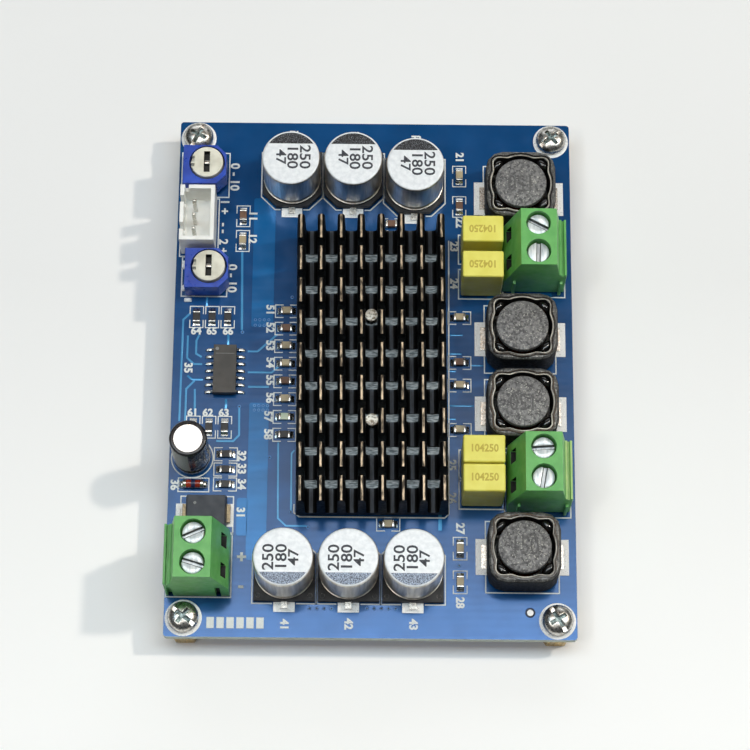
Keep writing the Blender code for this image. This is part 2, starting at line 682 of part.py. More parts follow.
def make_corner_fixings():
    head_seat = BOARD_TOP + SEAT_GAP
    for number, (place, slot_angle) in enumerate(zip(FIXING_PLACES, CORNER_SLOT_ANGLES), start=1):
        post = bmesh.new()
        across_corners = STANDOFF_FLATS / math.cos(math.pi / 6)
        add_prism(post, polygon(across_corners, 6), 0.0, STANDOFF_HEIGHT)
        standoff = place_object(f"standoff_{number}", post, HEX_BRASS, place)
        bore = bmesh.new()
        outline = polygon(SCREW_HOLE_DIAMETER, BORE_SIDES)
        add_prism(bore, outline, -CUT_MARGIN, STANDOFF_HEIGHT + CUT_MARGIN)
        cut(standoff, bore, "bore")

        turned = bmesh.new()
        profile = pan_head_profile(
            CORNER_HEAD_DIAMETER, CORNER_HEAD_HEIGHT, SCREW_DIAMETER, CORNER_SHANK_LENGTH
        )
        add_turned(turned, profile, SCREW_STEPS)
        name = f"corner_screw_{number}"
        angle = math.radians(slot_angle)
        screw = place_object(name, turned, BRIGHT_STEEL, place, head_seat, angle, smooth=True)
        recess = bmesh.new()
        outline = cross(
            CORNER_HEAD_DIAMETER / 2 + CUT_MARGIN, RECESS_REACH * CORNER_HEAD_DIAMETER, RECESS_WIDTH
        )
        add_prism(recess, outline, CORNER_HEAD_HEIGHT - RECESS_DEPTH, CORNER_HEAD_HEIGHT + CUT_MARGIN)
        cut(screw, recess, "recess")


# Chips with bent leads

def lead_profile(body_half, body_height, reach, bent):
    """Side view of one lead, from inside the body out to its foot."""
    t = LEAD_THICKNESS
    knee = body_half + 0.4 * reach
    foot = body_half + reach
    shoulder = 0.55 * body_height
    if not bent:
        return [(body_half - t, shoulder), (body_half - t, shoulder - t), (foot, 0.0), (foot, t)]
    return [
        (body_half - t, shoulder),
        (body_half - t, shoulder - t),
        (knee - t, 0.0),
        (foot, 0.0),
        (foot, t),
        (knee, t),
    ]


def make_chip(name, place, angle, width, length, height, leads, pitch, lead_width, reach, bent):
    """A moulded body with a row of leads along each long side."""
    body = bmesh.new()
    add_prism(body, rectangle(width, length), LEAD_THICKNESS / 2, height)
    chip = place_object(name, body, CHIP_BLACK, place, SEAT, angle)
    rows = bmesh.new()
    for side in (0.0, math.pi):
        for lead in range(leads):
            middle = (lead - (leads - 1) / 2) * pitch
            profile = lead_profile(width / 2, height, reach, bent)
            verts = add_side_prism(rows, profile, middle - lead_width / 2, middle + lead_width / 2)
            turn_and_move(rows, verts, side, (0.0, 0.0))
    weld(chip, rows, "leads")
    return chip


def make_power_diode():
    body = bmesh.new()
    half = DIODE_WIDTH / 2
    parting = DIODE_HEIGHT / 2
    profile = [
        (-half + DIODE_DRAFT, 0.0),
        (half - DIODE_DRAFT, 0.0),
        (half, parting),
        (half - DIODE_DRAFT, DIODE_HEIGHT),
        (-half + DIODE_DRAFT, DIODE_HEIGHT),
        (-half, parting),
    ]
    add_side_prism(body, profile, -DIODE_LENGTH / 2, DIODE_LENGTH / 2)
    diode = place_object("power_diode", body, CHIP_BLACK, DIODE_PLACE, SEAT)
    leads = bmesh.new()
    reach = half + DIODE_LEAD_REACH
    low, high = DIODE_DRAFT, DIODE_LEAD_TOP
    for side in (1, -1):
        ends = sorted((side * (half - 2 * DIODE_DRAFT), side * reach))
        b = DIODE_LEAD_LENGTH / 2
        add_box(leads, (ends[0], -b, low), (ends[1], b, high))
    weld(diode, leads, "leads")


# Heatsink

def fin_positions():
    return [(column - (FIN_COLUMNS - 1) / 2) * FIN_PITCH for column in range(FIN_COLUMNS)]


def fillet_points(corner_x, side):
    """Arc from the valley floor up into the flank that stands on one side of it."""
    points = []
    for step in range(FILLET_STEPS + 1):
        angle = math.pi / 2 * step / FILLET_STEPS
        across = VALLEY_FILLET * (1 - math.sin(angle))
        rise = VALLEY_FILLET * (1 - math.cos(angle))
        points.append((corner_x - side * across, rise))
    return points


def heatsink_profile():
    """Section of the extrusion from left to right over the fins, then back along the base."""
    floor = HEATSINK_BASE
    top = floor + FIN_HEIGHT
    shoulder = top - FIN_SHOULDER_DROP
    points = []
    for column, x in enumerate(fin_positions()):
        left_root = x - FIN_ROOT / 2
        right_root = x + FIN_ROOT / 2
        left_shoulder = x - FIN_SHOULDER / 2
        right_shoulder = x + FIN_SHOULDER / 2
        if column == 0:
            left_shoulder = left_root - FIN_EDGE_EXTRA
        else:
            points += [(px, floor + rise) for px, rise in fillet_points(left_root, 1)]
        if column == FIN_COLUMNS - 1:
            right_shoulder = right_root + FIN_EDGE_EXTRA
        points += [
            (left_shoulder, shoulder),
            (x - FIN_CREST / 2, top),
            (x + FIN_CREST / 2, top),
            (right_shoulder, shoulder),
        ]
        if column < FIN_COLUMNS - 1:
            points += [(px, floor + rise) for px, rise in reversed(fillet_points(right_root, -1))]
    points += [(HEATSINK_WIDTH / 2, 0.0), (-HEATSINK_WIDTH / 2, 0.0)]
    return points


def make_heatsink():
    extrusion = bmesh.new()
    add_side_prism(extrusion, heatsink_profile(), -HEATSINK_LENGTH / 2, HEATSINK_LENGTH / 2)
    heatsink = place_object(
        "heatsink", extrusion, BLACK_ANODISED, HEATSINK_PLACE, HEATSINK_LOW, HEATSINK_TURN
    )
    row_length = (HEATSINK_LENGTH - (FIN_ROWS - 1) * ROW_GAP) / FIN_ROWS
    side = HEATSINK_WIDTH / 2 + CUT_MARGIN
    low = HEATSINK_BASE - ROW_CUT_BELOW_VALLEY
    high = HEATSINK_BASE + FIN_HEIGHT + CUT_MARGIN
    slots = bmesh.new()
    for row in range(1, FIN_ROWS):
        start = -HEATSINK_LENGTH / 2 + row * row_length + (row - 1) * ROW_GAP
        add_box(slots, (-side, start, low), (side, start + ROW_GAP, high))
    cut(heatsink, slots, "cross_cuts")

    bores = bmesh.new()
    bore = HEATSINK_SCREW_DIAMETER + 2 * HEATSINK_BOSS_CLEARANCE
    bore_top = HEATSINK_BASE + HEATSINK_SCREW_RISE + CUT_MARGIN
    for end in (1, -1):
        place = (0.0, end * HEATSINK_SCREW_SPREAD / 2)
        add_prism(bores, polygon(bore, BORE_SIDES, place), -CUT_MARGIN, bore_top)
    cut(heatsink, bores, "bores")

    head_seat = BOARD_LOW - SEAT_GAP
    length = VALLEY_LEVEL + HEATSINK_SCREW_RISE - head_seat
    for number, place in enumerate(HEATSINK_SCREW_PLACES, start=1):
        turned = bmesh.new()
        profile = pan_head_profile(
            HEATSINK_SCREW_HEAD_DIAMETER, HEATSINK_SCREW_HEAD_HEIGHT, HEATSINK_SCREW_DIAMETER, length
        )
        add_turned(turned, [(r, -z) for r, z in profile], SCREW_STEPS)
        name = f"heatsink_screw_{number}"
        screw = place_object(name, turned, BRIGHT_STEEL, place, head_seat, smooth=True)
        recess = bmesh.new()
        arm = RECESS_REACH * HEATSINK_SCREW_HEAD_DIAMETER
        low = -HEATSINK_SCREW_HEAD_HEIGHT - CUT_MARGIN
        add_prism(recess, cross(arm, arm, RECESS_WIDTH), low, RECESS_DEPTH - HEATSINK_SCREW_HEAD_HEIGHT)
        cut(screw, recess, "recess")


# Electrolytic capacitors

def can_profile():
    """Half profile of the can, from the middle of its flat top down to its sealed foot."""
    r = CAN_DIAMETER / 2
    top = CAN_HEIGHT
    groove = (CAN_GROOVE_LOW + CAN_GROOVE_HIGH) / 2
    return [
        (0.0, top),
        (r - CAN_SHOULDER, top),
        (r, top - CAN_SHOULDER),
        (r, CAN_GROOVE_HIGH),
        (r - CAN_GROOVE_DEPTH, groove),
        (r, CAN_GROOVE_LOW),
        (r - CAN_GROOVE_DEPTH / 2, 0.0),
        (0.0, 0.0),
    ]


def make_can_capacitors():
    for number, place in enumerate(CAN_PLACES, start=1):
        facing = 0.0 if place[1] > 0.0 else math.pi
        plate = bmesh.new()
        add_prism(plate, chamfered_square(CAN_BASE_SIZE, CAN_BASE_CHAMFER), 0.0, CAN_BASE_HEIGHT)
        base = place_object(f"capacitor_base_{number}", plate, BLACK_PLASTIC, place, SEAT, facing)
        leads = bmesh.new()
        reach = CAN_BASE_SIZE / 2 + CAN_LEAD_REACH
        half = CAN_LEAD_WIDTH / 2
        for side in (1, -1):
            ends = sorted((side * (CAN_BASE_SIZE / 2 - WELD_SINK), side * reach))
            add_box(leads, (-half, ends[0], CAN_LEAD_RISE), (half, ends[1], CAN_LEAD_THICKNESS))
        weld(base, leads, "leads")

        turned = bmesh.new()
        add_turned(turned, can_profile(), CAN_STEPS)
        foot = SEAT + CAN_BASE_HEIGHT + SEAT_GAP
        place_object(f"capacitor_can_{number}", turned, CAN_ALUMINIUM, place, foot, facing, smooth=True)


def make_upright_capacitor():
    r = SLEEVE_DIAMETER / 2
    lip = SLEEVE_LIP
    groove = SLEEVE_GROOVE_HEIGHT
    profile = [
        (0.0, SLEEVE_HEIGHT),
        (r - lip, SLEEVE_HEIGHT),
        (r, SLEEVE_HEIGHT - lip),
        (r, groove + SLEEVE_GROOVE),
        (r - SLEEVE_GROOVE, groove),
        (r, groove - SLEEVE_GROOVE),
        (r - lip, 0.0),
        (0.0, 0.0),
    ]
    turned = bmesh.new()
    add_turned(turned, profile, SLEEVE_STEPS)
    place_object("small_capacitor", turned, BLACK_SLEEVE, SLEEVE_PLACE, SEAT, smooth=True)


# Coils

def make_coils():
    for number, place in enumerate(COIL_PLACES, start=1):
        block = bmesh.new()
        outline = rounded_rectangle(COIL_SIZE, COIL_SIZE, COIL_CORNER, COIL_CORNER_STEPS)
        add_prism(block, outline, 0.0, COIL_HEIGHT)
        shield = place_object(f"coil_shield_{number}", block, GREY_FERRITE, place, SEAT)
        soften(shield, COIL_EDGE)
        well = bmesh.new()
        lobed = lobed_circle(COIL_WELL_RADIUS, COIL_WELL_LOBE, COIL_WELL_POINTS)
        add_prism(well, lobed, COIL_FLOOR, COIL_HEIGHT + CUT_MARGIN)
        cut(shield, well, "well")

        low = COIL_FLOOR + SEAT_GAP
        top = COIL_HEIGHT + COIL_CORE_RISE
        r = COIL_CORE_DIAMETER / 2
        w = COIL_WINDING_DIAMETER / 2
        profile = [
            (0.0, top),
            (r, top),
            (r, top - COIL_FLANGE),
            (w, top - COIL_FLANGE),
            (w, low + COIL_FLANGE),
            (r, low + COIL_FLANGE),
            (r, low),
            (0.0, low),
        ]
        drum = bmesh.new()
        add_turned(drum, profile, COIL_STEPS)
        place_object(f"coil_core_{number}", drum, GREY_FERRITE, place, SEAT, smooth=True)


# Film capacitors

def make_film_capacitors():
    for number, place in enumerate(FILM_PLACES, start=1):
        case = bmesh.new()
        add_prism(case, rectangle(FILM_WIDTH, FILM_DEPTH), FILM_FOOT_HEIGHT, FILM_HEIGHT)
        box = place_object(f"film_capacitor_{number}", case, YELLOW_RESIN, place, SEAT)
        soften(box, FILM_EDGE)
        feet = bmesh.new()
        for side in (1, -1):
            middle = (side * (FILM_WIDTH / 2 - FILM_FOOT), 0.0)
            outline = rectangle(FILM_FOOT, FILM_DEPTH - 2 * FILM_FOOT, middle)
            add_prism(feet, outline, 0.0, FILM_FOOT_HEIGHT + FILM_EDGE)
        weld(box, feet, "feet")


# Screw terminals

def terminal_profile():
    """Section across a terminal: (outwards, up)."""
    groove_in = (TERMINAL_LEDGE_IN + TERMINAL_OUTER - TERMINAL_GROOVE_WIDTH) / 2
    groove_out = groove_in + TERMINAL_GROOVE_WIDTH
    groove_low = TERMINAL_LEDGE - TERMINAL_GROOVE_DEPTH
    return [
        (-TERMINAL_INNER, 0.0),
        (TERMINAL_OUTER, 0.0),
        (TERMINAL_OUTER, TERMINAL_LEDGE),
        (groove_out, TERMINAL_LEDGE),
        (groove_out, groove_low),
        (groove_in, groove_low),
        (groove_in, TERMINAL_LEDGE),
        (TERMINAL_LEDGE_IN, TERMINAL_LEDGE),
        (TERMINAL_TOP_OUTER, TERMINAL_HEIGHT),
        (-TERMINAL_TOP_INNER, TERMINAL_HEIGHT),
        (-TERMINAL_INNER, TERMINAL_SLOPE_FOOT),
    ]


def terminal_ways():
    return [side * TERMINAL_PITCH / 2 for side in (1, -1)]


def make_terminal_housing(name, place, angle):
    block = bmesh.new()
    end = TERMINAL_LENGTH / 2
    add_side_prism(block, terminal_profile(), -end, end)
    housing = place_object(name, block, GREEN_PLASTIC, place, SEAT, angle)

    chambers = bmesh.new()
    entries = bmesh.new()
    necks = bmesh.new()
    wells = bmesh.new()
    contacts = bmesh.new()
    shank_bore = TERMINAL_SCREW_SHANK + 2 * RUNNING_GAP
    inside = CHAMBER_DEPTH / 2
    well_floor = CHAMBER_ROOF + NECK_HEIGHT
    window_low = CONTACT_TOP + WINDOW_SILL
    for y in terminal_ways():
        b = CHAMBER_LENGTH / 2
        add_box(chambers, (-inside, y - b, CHAMBER_FLOOR), (inside, y + b, CHAMBER_ROOF))
        b = ENTRY_WIDTH / 2
        add_box(entries, (0.0, y - b, ENTRY_LOW), (TERMINAL_OUTER + CUT_MARGIN, y + b, ENTRY_HIGH))
        b = WINDOW_WIDTH / 2
        outside = -TERMINAL_INNER - CUT_MARGIN
        add_box(entries, (outside, y - b, window_low), (-inside / 2, y + b, window_low + WINDOW_HEIGHT))
        neck = polygon(shank_bore, BORE_SIDES, (0.0, y))
        add_prism(necks, neck, CHAMBER_ROOF - CUT_MARGIN, well_floor + CUT_MARGIN)
        well = polygon(WELL_DIAMETER, WELL_SIDES, (0.0, y))
        add_prism(wells, well, well_floor, TERMINAL_HEIGHT + CUT_MARGIN)
        b = CONTACT_WIDTH / 2
        wall = -inside - WELD_SINK
        low = CONTACT_TOP - CONTACT_THICKNESS
        add_box(contacts, (wall, y - b, low), (wall + CONTACT_REACH, y + b, CONTACT_TOP))
    cut(housing, chambers, "chambers")
    cut(housing, entries, "entries")
    cut(housing, necks, "necks")
    cut(housing, wells, "wells")
    weld(housing, contacts, "contacts")

    keyways = bmesh.new()
    keys = bmesh.new()
    for x in KEY_PLACES:
        a = KEY_WIDTH / 2
        add_box(keyways, (x - a, end - KEY_REACH, -CUT_MARGIN), (x + a, end + CUT_MARGIN, KEY_HEIGHT))
        a = KEY_WIDTH / 2 - RUNNING_GAP / 2
        add_box(keys, (x - a, -end - KEY_REACH, 0.0), (x + a, -end + WELD_SINK, KEY_HEIGHT - RUNNING_GAP))
    cut(housing, keyways, "keyways")
    weld(housing, keys, "keys")


def make_clamp(name, place, angle):
    """A rectangular cage, open along the wire, with the screw's bore in its roof."""
    cage = bmesh.new()
    add_prism(cage, rectangle(CLAMP_DEPTH, CLAMP_LENGTH), CLAMP_LOW, CLAMP_HIGH)
    clamp = place_object(name, cage, PLATED_CLAMP, place, SEAT, angle)
    window = bmesh.new()
    a = CLAMP_DEPTH / 2 + CUT_MARGIN
    b = CLAMP_LENGTH / 2 - CLAMP_SIDE
    add_box(window, (-a, -b, CLAMP_WINDOW_LOW), (a, b, CLAMP_WINDOW_HIGH))
    cut(clamp, window, "window")
    bore = bmesh.new()
    outline = polygon(TERMINAL_SCREW_SHANK + 2 * RUNNING_GAP, BORE_SIDES)
    add_prism(bore, outline, CLAMP_WINDOW_HIGH - CUT_MARGIN, CLAMP_HIGH + CUT_MARGIN)
    cut(clamp, bore, "bore")


def make_terminal_screw(name, place, angle):
    """A slotted cheese head whose shank ends just above the contact plate."""
    r = TERMINAL_SCREW_HEAD_DIAMETER / 2
    s = TERMINAL_SCREW_SHANK / 2
    top = SCREW_SEAT + TERMINAL_SCREW_HEAD_HEIGHT
    tip = CONTACT_TOP + RUNNING_GAP
    profile = [(0.0, top), (r, top), (r, SCREW_SEAT), (s, SCREW_SEAT), (s, tip), (0.0, tip)]
    turned = bmesh.new()
    add_turned(turned, profile, SCREW_STEPS)
    screw = place_object(name, turned, BRIGHT_STEEL, place, SEAT, angle, smooth=True)
    slot = bmesh.new()
    a = r + CUT_MARGIN
    b = TERMINAL_SLOT_WIDTH / 2
    add_box(slot, (-a, -b, top - TERMINAL_SLOT_DEPTH), (a, b, top + CUT_MARGIN))
    cut(screw, slot, "slot")


def make_terminals():
    for name, place, degrees, slot_angles in TERMINALS:
        angle = math.radians(degrees)
        make_terminal_housing(name, place, angle)
        for number, (y, slot_angle) in enumerate(zip(terminal_ways(), slot_angles), start=1):
            way = (place[0], place[1] + y)
            make_clamp(f"{name}_clamp_{number}", way, angle)
            make_terminal_screw(f"{name}_screw_{number}", way, math.radians(slot_angle))


# Volume trimmers

def make_trimmers():
    a, b, c = TRIMMER_WIDTH / 2, TRIMMER_LENGTH / 2, TRIMMER_CHAMFER
    outline = [(-a, -b), (a - c, -b), (a, -b + c), (a, b - c), (a - c, b), (-a, b)]
    for number, place in enumerate(TRIMMER_PLACES, start=1):
        case = bmesh.new()
        add_prism(case, outline, TRIMMER_FOOT_HEIGHT, TRIMMER_HEIGHT)
        body = place_object(f"trimmer_body_{number}", case, TRIMMER_BLUE, place, SEAT)
        well = bmesh.new()
        bore = DIAL_DIAMETER + 2 * RUNNING_GAP
        floor = TRIMMER_HEIGHT - DIAL_DEPTH - RUNNING_GAP
        add_prism(well, polygon(bore, DIAL_STEPS, DIAL_OFFSET), floor, TRIMMER_HEIGHT + CUT_MARGIN)
        cut(body, well, "well")
        feet = bmesh.new()
        for sx, sy in ((-1, -1), (-1, 1), (1, 0)):
            middle = (sx * (a - TRIMMER_FOOT), sy * (b - TRIMMER_FOOT))
            foot = rectangle(TRIMMER_FOOT, TRIMMER_FOOT, middle)
            add_prism(feet, foot, 0.0, TRIMMER_FOOT_HEIGHT + WELD_SINK)
        weld(body, feet, "feet")

        axis = (place[0] + DIAL_OFFSET[0], place[1] + DIAL_OFFSET[1])
        r = DIAL_DIAMETER / 2
        low = TRIMMER_HEIGHT - DIAL_DEPTH
        top = TRIMMER_HEIGHT + DIAL_RISE
        turned = bmesh.new()
        profile = [(0.0, top), (r - DIAL_EDGE, top), (r, top - DIAL_EDGE), (r, low), (0.0, low)]
        add_turned(turned, profile, DIAL_STEPS)
        dial = place_object(f"trimmer_dial_{number}", turned, DIAL_IVORY, axis, SEAT, smooth=True)
        recess = bmesh.new()
        floor = top - DIAL_SLOT_DEPTH
        add_prism(recess, rectangle(DIAL_SLOT_WIDTH, DIAL_SLOT_LENGTH), floor, top + CUT_MARGIN)
        for side in (1, -1):
            y = side * DIAL_NOTCH_SPREAD / 2
            half = DIAL_NOTCH_WIDTH / 2
            outside = -r - CUT_MARGIN
            inner = DIAL_NOTCH_REACH - r
            add_box(recess, (outside, y - half, floor), (inner, y + half, top + CUT_MARGIN))
        cut(dial, recess, "recess")


# Input socket

def socket_pins():
    return [(pin - (SOCKET_PINS - 1) / 2) * SOCKET_PIN_PITCH for pin in range(SOCKET_PINS)]


def make_input_socket():
    case = bmesh.new()
    add_prism(case, rectangle(SOCKET_WIDTH, SOCKET_LENGTH), 0.0, SOCKET_HEIGHT)
    socket = place_object("input_socket", case, SOCKET_WHITE, SOCKET_PLACE, SEAT)
    inside = bmesh.new()
    a = SOCKET_WIDTH / 2
    b = SOCKET_LENGTH / 2
    wall = SOCKET_WALL
    add_box(inside, (wall - a, wall - b, SOCKET_FLOOR), (a - wall, b - wall, SOCKET_HEIGHT + CUT_MARGIN))
    cut(socket, inside, "inside")
    slots = bmesh.new()
    for side in (1, -1):
        y = side * SOCKET_SLOT_SPREAD / 2
        half = SOCKET_SLOT_WIDTH / 2
        low = (-a - CUT_MARGIN, y - half, SOCKET_SLOT_FLOOR)
        high = (2 * wall - a, y + half, SOCKET_HEIGHT + CUT_MARGIN)
        add_box(slots, low, high)
    cut(socket, slots, "slots")
    pins = bmesh.new()
    for y in socket_pins():
        outline = rectangle(SOCKET_PIN_SIZE, SOCKET_PIN_SIZE, (SOCKET_PIN_OFFSET, y))
        add_prism(pins, outline, SOCKET_FLOOR - WELD_SINK, SOCKET_PIN_TOP)
    weld(socket, pins, "pins")


make_board()
make_corner_fixings()
make_heatsink()
make_chip(
    "amplifier_chip",
    HEATSINK_PLACE,
    HEATSINK_TURN,
    CHIP_WIDTH,
    CHIP_LENGTH,
    CHIP_HEIGHT,
    CHIP_LEADS,
    CHIP_LEAD_PITCH,
    CHIP_LEAD_WIDTH,
    CHIP_LEAD_REACH,
    bent=False,
)
make_chip(
    "preamp_chip",
    SMALL_CHIP_PLACE,
    0.0,
    SMALL_CHIP_WIDTH,
    SMALL_CHIP_LENGTH,
    SMALL_CHIP_HEIGHT,
    SMALL_CHIP_LEADS,
    SMALL_CHIP_LEAD_PITCH,
    SMALL_CHIP_LEAD_WIDTH,
    SMALL_CHIP_LEAD_REACH,
    bent=True,
)
make_power_diode()
make_can_capacitors()
make_upright_capacitor()
make_coils()
make_film_capacitors()
make_terminals()
make_trimmers()
make_input_socket()
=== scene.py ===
"""Two-channel audio amplifier board: its visible pieces, their finishes, the light and the camera.

Metres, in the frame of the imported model. Sizes are named once and the rest follows from them.
"""

import json
import math

import bpy
from mathutils import Matrix, Vector

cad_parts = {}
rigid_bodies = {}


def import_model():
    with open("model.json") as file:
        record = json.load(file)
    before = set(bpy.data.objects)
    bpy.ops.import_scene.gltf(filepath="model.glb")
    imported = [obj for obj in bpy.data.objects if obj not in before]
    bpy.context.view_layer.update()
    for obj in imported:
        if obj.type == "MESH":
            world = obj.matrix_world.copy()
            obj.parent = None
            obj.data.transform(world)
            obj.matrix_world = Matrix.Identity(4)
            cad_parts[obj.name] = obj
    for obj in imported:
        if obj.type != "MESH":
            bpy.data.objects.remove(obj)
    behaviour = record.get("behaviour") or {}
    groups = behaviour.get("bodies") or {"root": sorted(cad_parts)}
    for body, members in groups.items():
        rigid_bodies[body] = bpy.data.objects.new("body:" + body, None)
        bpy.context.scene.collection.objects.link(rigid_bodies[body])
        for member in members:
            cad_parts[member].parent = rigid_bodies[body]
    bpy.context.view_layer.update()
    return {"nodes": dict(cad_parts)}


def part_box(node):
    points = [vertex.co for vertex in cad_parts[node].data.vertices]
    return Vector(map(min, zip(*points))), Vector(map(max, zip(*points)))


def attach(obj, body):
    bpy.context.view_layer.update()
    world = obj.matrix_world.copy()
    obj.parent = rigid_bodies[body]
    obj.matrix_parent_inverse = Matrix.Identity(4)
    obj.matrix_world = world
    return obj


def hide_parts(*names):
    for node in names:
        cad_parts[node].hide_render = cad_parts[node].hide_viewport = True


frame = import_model()

MM = 0.001
BOARD = "board_body"
BOARD_LEFT, BOARD_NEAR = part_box("circuit_board")[0][:2]
BOARD_RIGHT, BOARD_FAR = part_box("circuit_board")[1][:2]
BOARD_THICKNESS = 1.6 * MM
BOARD_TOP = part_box("standoff_1")[1].z + 0.25 * MM + BOARD_THICKNESS
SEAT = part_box("capacitor_base_1")[0].z
COPPER_RISE = 0.03 * MM
TRACK_RISE = 0.05 * MM
PRINT_RISE = 0.07 * MM
PAD_RISE = 0.10 * MM


def middle(node):
    """The middle of a node, seen from above."""
    low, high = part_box(node)
    return (low.x + high.x) / 2, (low.y + high.y) / 2


# Modelling by hand

def alone(piece):
    bpy.ops.object.select_all(action="DESELECT")
    piece.select_set(True)
    bpy.context.view_layer.objects.active = piece


def placed(piece):
    """Moves a piece's place and turn into its mesh."""
    alone(piece)
    bpy.ops.object.transform_apply(location=True, rotation=True, scale=True)
    return piece


def edited(piece):
    """Opens a piece in edit mode with everything on it selected."""
    alone(piece)
    bpy.ops.object.mode_set(mode="EDIT")
    bpy.ops.mesh.select_mode(type="VERT")
    bpy.ops.mesh.select_all(action="SELECT")


def picked(piece, wanted):
    """Opens a piece in edit mode with only the faces that answer a test selected."""
    edited(piece)
    bpy.ops.mesh.select_mode(type="FACE")
    bpy.ops.mesh.select_all(action="DESELECT")
    bpy.ops.object.mode_set(mode="OBJECT")
    for face in piece.data.polygons:
        face.select = wanted(face)
    bpy.ops.object.mode_set(mode="EDIT")


def closed(piece):
    """Back to object mode, with doubles merged and faces turned outwards."""
    bpy.ops.mesh.select_all(action="SELECT")
    bpy.ops.mesh.remove_doubles(threshold=0.001 * MM)
    bpy.ops.mesh.normals_make_consistent(inside=False)
    bpy.ops.object.mode_set(mode="OBJECT")
    return piece


def applied(piece, kind, **settings):
    """Adds a modifier and applies it."""
    alone(piece)
    modifier = piece.modifiers.new(kind.lower(), kind)
    for setting, value in settings.items():
        setattr(modifier, setting, value)
    bpy.ops.object.modifier_apply(modifier=modifier.name)
    return piece


def softened(piece, width, segments=2, angle=35.0):
    """Rounds the sharp edges and shades the rest smooth."""
    limit = math.radians(angle)
    applied(piece, "BEVEL", width=width, segments=segments, limit_method="ANGLE", angle_limit=limit)
    smooth(piece, 50.0)
    return applied(piece, "WEIGHTED_NORMAL", keep_sharp=True, weight=80)


def smooth(piece, angle=35.0):
    alone(piece)
    bpy.ops.object.shade_smooth_by_angle(angle=math.radians(angle))
    return piece


def carved(piece, cutter, operation="DIFFERENCE"):
    """Cuts one piece with another, and puts the cutter away."""
    applied(piece, "BOOLEAN", object=cutter, operation=operation, solver="EXACT")
    bpy.data.objects.remove(cutter)
    return piece


def block(name, low, high):
    bpy.ops.object.select_all(action="DESELECT")
    bpy.ops.mesh.primitive_cube_add(size=1.0, location=[(a + b) / 2 for a, b in zip(low, high)])
    piece = bpy.context.active_object
    piece.name = name
    piece.scale = [b - a for a, b in zip(low, high)]
    return placed(piece)


def cuboid(x, y, width, length, low, high):
    """A block given by its middle and size, seen from above, and by its two heights."""
    return block("block", (x - width / 2, y - length / 2, low), (x + width / 2, y + length / 2, high))


def rod(name, place, low, high, diameter, sides=24):
    bpy.ops.object.select_all(action="DESELECT")
    bpy.ops.mesh.primitive_cylinder_add(
        vertices=sides, radius=diameter / 2, depth=high - low, location=(*place, (low + high) / 2)
    )
    piece = bpy.context.active_object
    piece.name = name
    return placed(piece)


def drawn(name, points):
    """A chain of edges through the given points, left open in edit mode."""
    bpy.ops.object.select_all(action="DESELECT")
    bpy.ops.mesh.primitive_plane_add(size=MM, location=(0.0, 0.0, 0.0))
    piece = bpy.context.active_object
    piece.name = name
    edited(piece)
    bpy.ops.mesh.merge(type="CENTER")
    bpy.ops.transform.translate(value=points[0])
    for before, after in zip(points, points[1:]):
        step = Vector(after) - Vector(before)
        bpy.ops.mesh.extrude_region_move(TRANSFORM_OT_translate={"value": step})
    return piece


def in_metres(points, level=0.0):
    """Points given in millimetres, the second value counted from a level."""
    return [(x * MM, level + y * MM) for x, y in points]


def around(place, points):
    """Places given in millimetres from another place."""
    return [(place[0] + x * MM, place[1] + y * MM) for x, y in points]


def both_sides(places, across, along):
    """The two places that lie opposite each other about each given one, in millimetres from it."""
    return [(x + side * across * MM, y + side * along * MM) for x, y in places for side in (1, -1)]


def raised(name, outline, way):
    """Fills an outline and draws it out along a way."""
    piece = drawn(name, outline)
    bpy.ops.mesh.select_all(action="SELECT")
    bpy.ops.mesh.edge_face_add()
    bpy.ops.mesh.extrude_region_move(TRANSFORM_OT_translate={"value": way})
    return closed(piece)


def prism(name, outline, low, high):
    """Raises an outline of (x, y) points from one height to another."""
    return raised(name, [(x, y, low) for x, y in outline], (0.0, 0.0, high - low))


def side_prism(name, profile, start, end):
    """Draws a profile of (x, z) points along Y."""
    return raised(name, [(x, start, z) for x, z in profile], (0.0, end - start, 0.0))


def moved(piece, place, turn=0.0):
    """Turns a piece about the Z axis, then moves it."""
    piece.rotation_euler = (0.0, 0.0, turn)
    piece.location = (*place, 0.0)[:3]
    return placed(piece)


def turned(name, profile, steps=48, ring=False, place=(0.0, 0.0)):
    """Spins a profile of (radius, height) points about the Z axis, then moves it to a place."""
    points = [(radius, 0.0, height) for radius, height in profile]
    if ring:
        points.append(points[0])
    piece = drawn(name, points)
    bpy.ops.mesh.select_all(action="SELECT")
    bpy.ops.mesh.spin(steps=steps, angle=math.tau, center=(0.0, 0.0, 0.0), axis=(0.0, 0.0, 1.0))
    return moved(smooth(closed(piece)), place)


def repeated(one_turn, start, stop, pitch):
    """One turn of a thread or winding, repeated downwards from one level to another."""
    points = []
    while start > stop:
        points += in_metres(one_turn, start)
        start -= pitch
    return points


def groove(radius, depth, level, half):
    """The profile of a round groove in a wall, from below upwards."""
    points = []
    for step in range(1, 8):
        angle = math.pi * step / 8
        points.append((radius - depth * math.sin(angle), level - half * math.cos(angle)))
    return points


def shoulder(radius, lip, high, steps):
    """The profile of a rounded shoulder, from the wall to the top."""
    points = []
    for step in range(steps + 1):
        angle = math.pi / 2 * step / steps
        points.append((radius - lip + lip * math.cos(angle), high - lip + lip * math.sin(angle)))
    return points


def slotted(piece, reach, half, low, high, turn=0.0):
    """Cuts a straight slot across the Z axis; its reach and half width are in millimetres."""
    slot = block("slot", (-reach * MM, -half * MM, low), (reach * MM, half * MM, high))
    return carved(piece, moved(slot, (0.0, 0.0), turn))


def copy_of(piece, name, place=(0.0, 0.0), turn=0.0):
    """A copy with its own mesh, turned about the Z axis and then moved."""
    alone(piece)
    bpy.ops.object.duplicate(linked=False)
    made = bpy.context.active_object
    made.name = name
    return moved(made, place, turn)


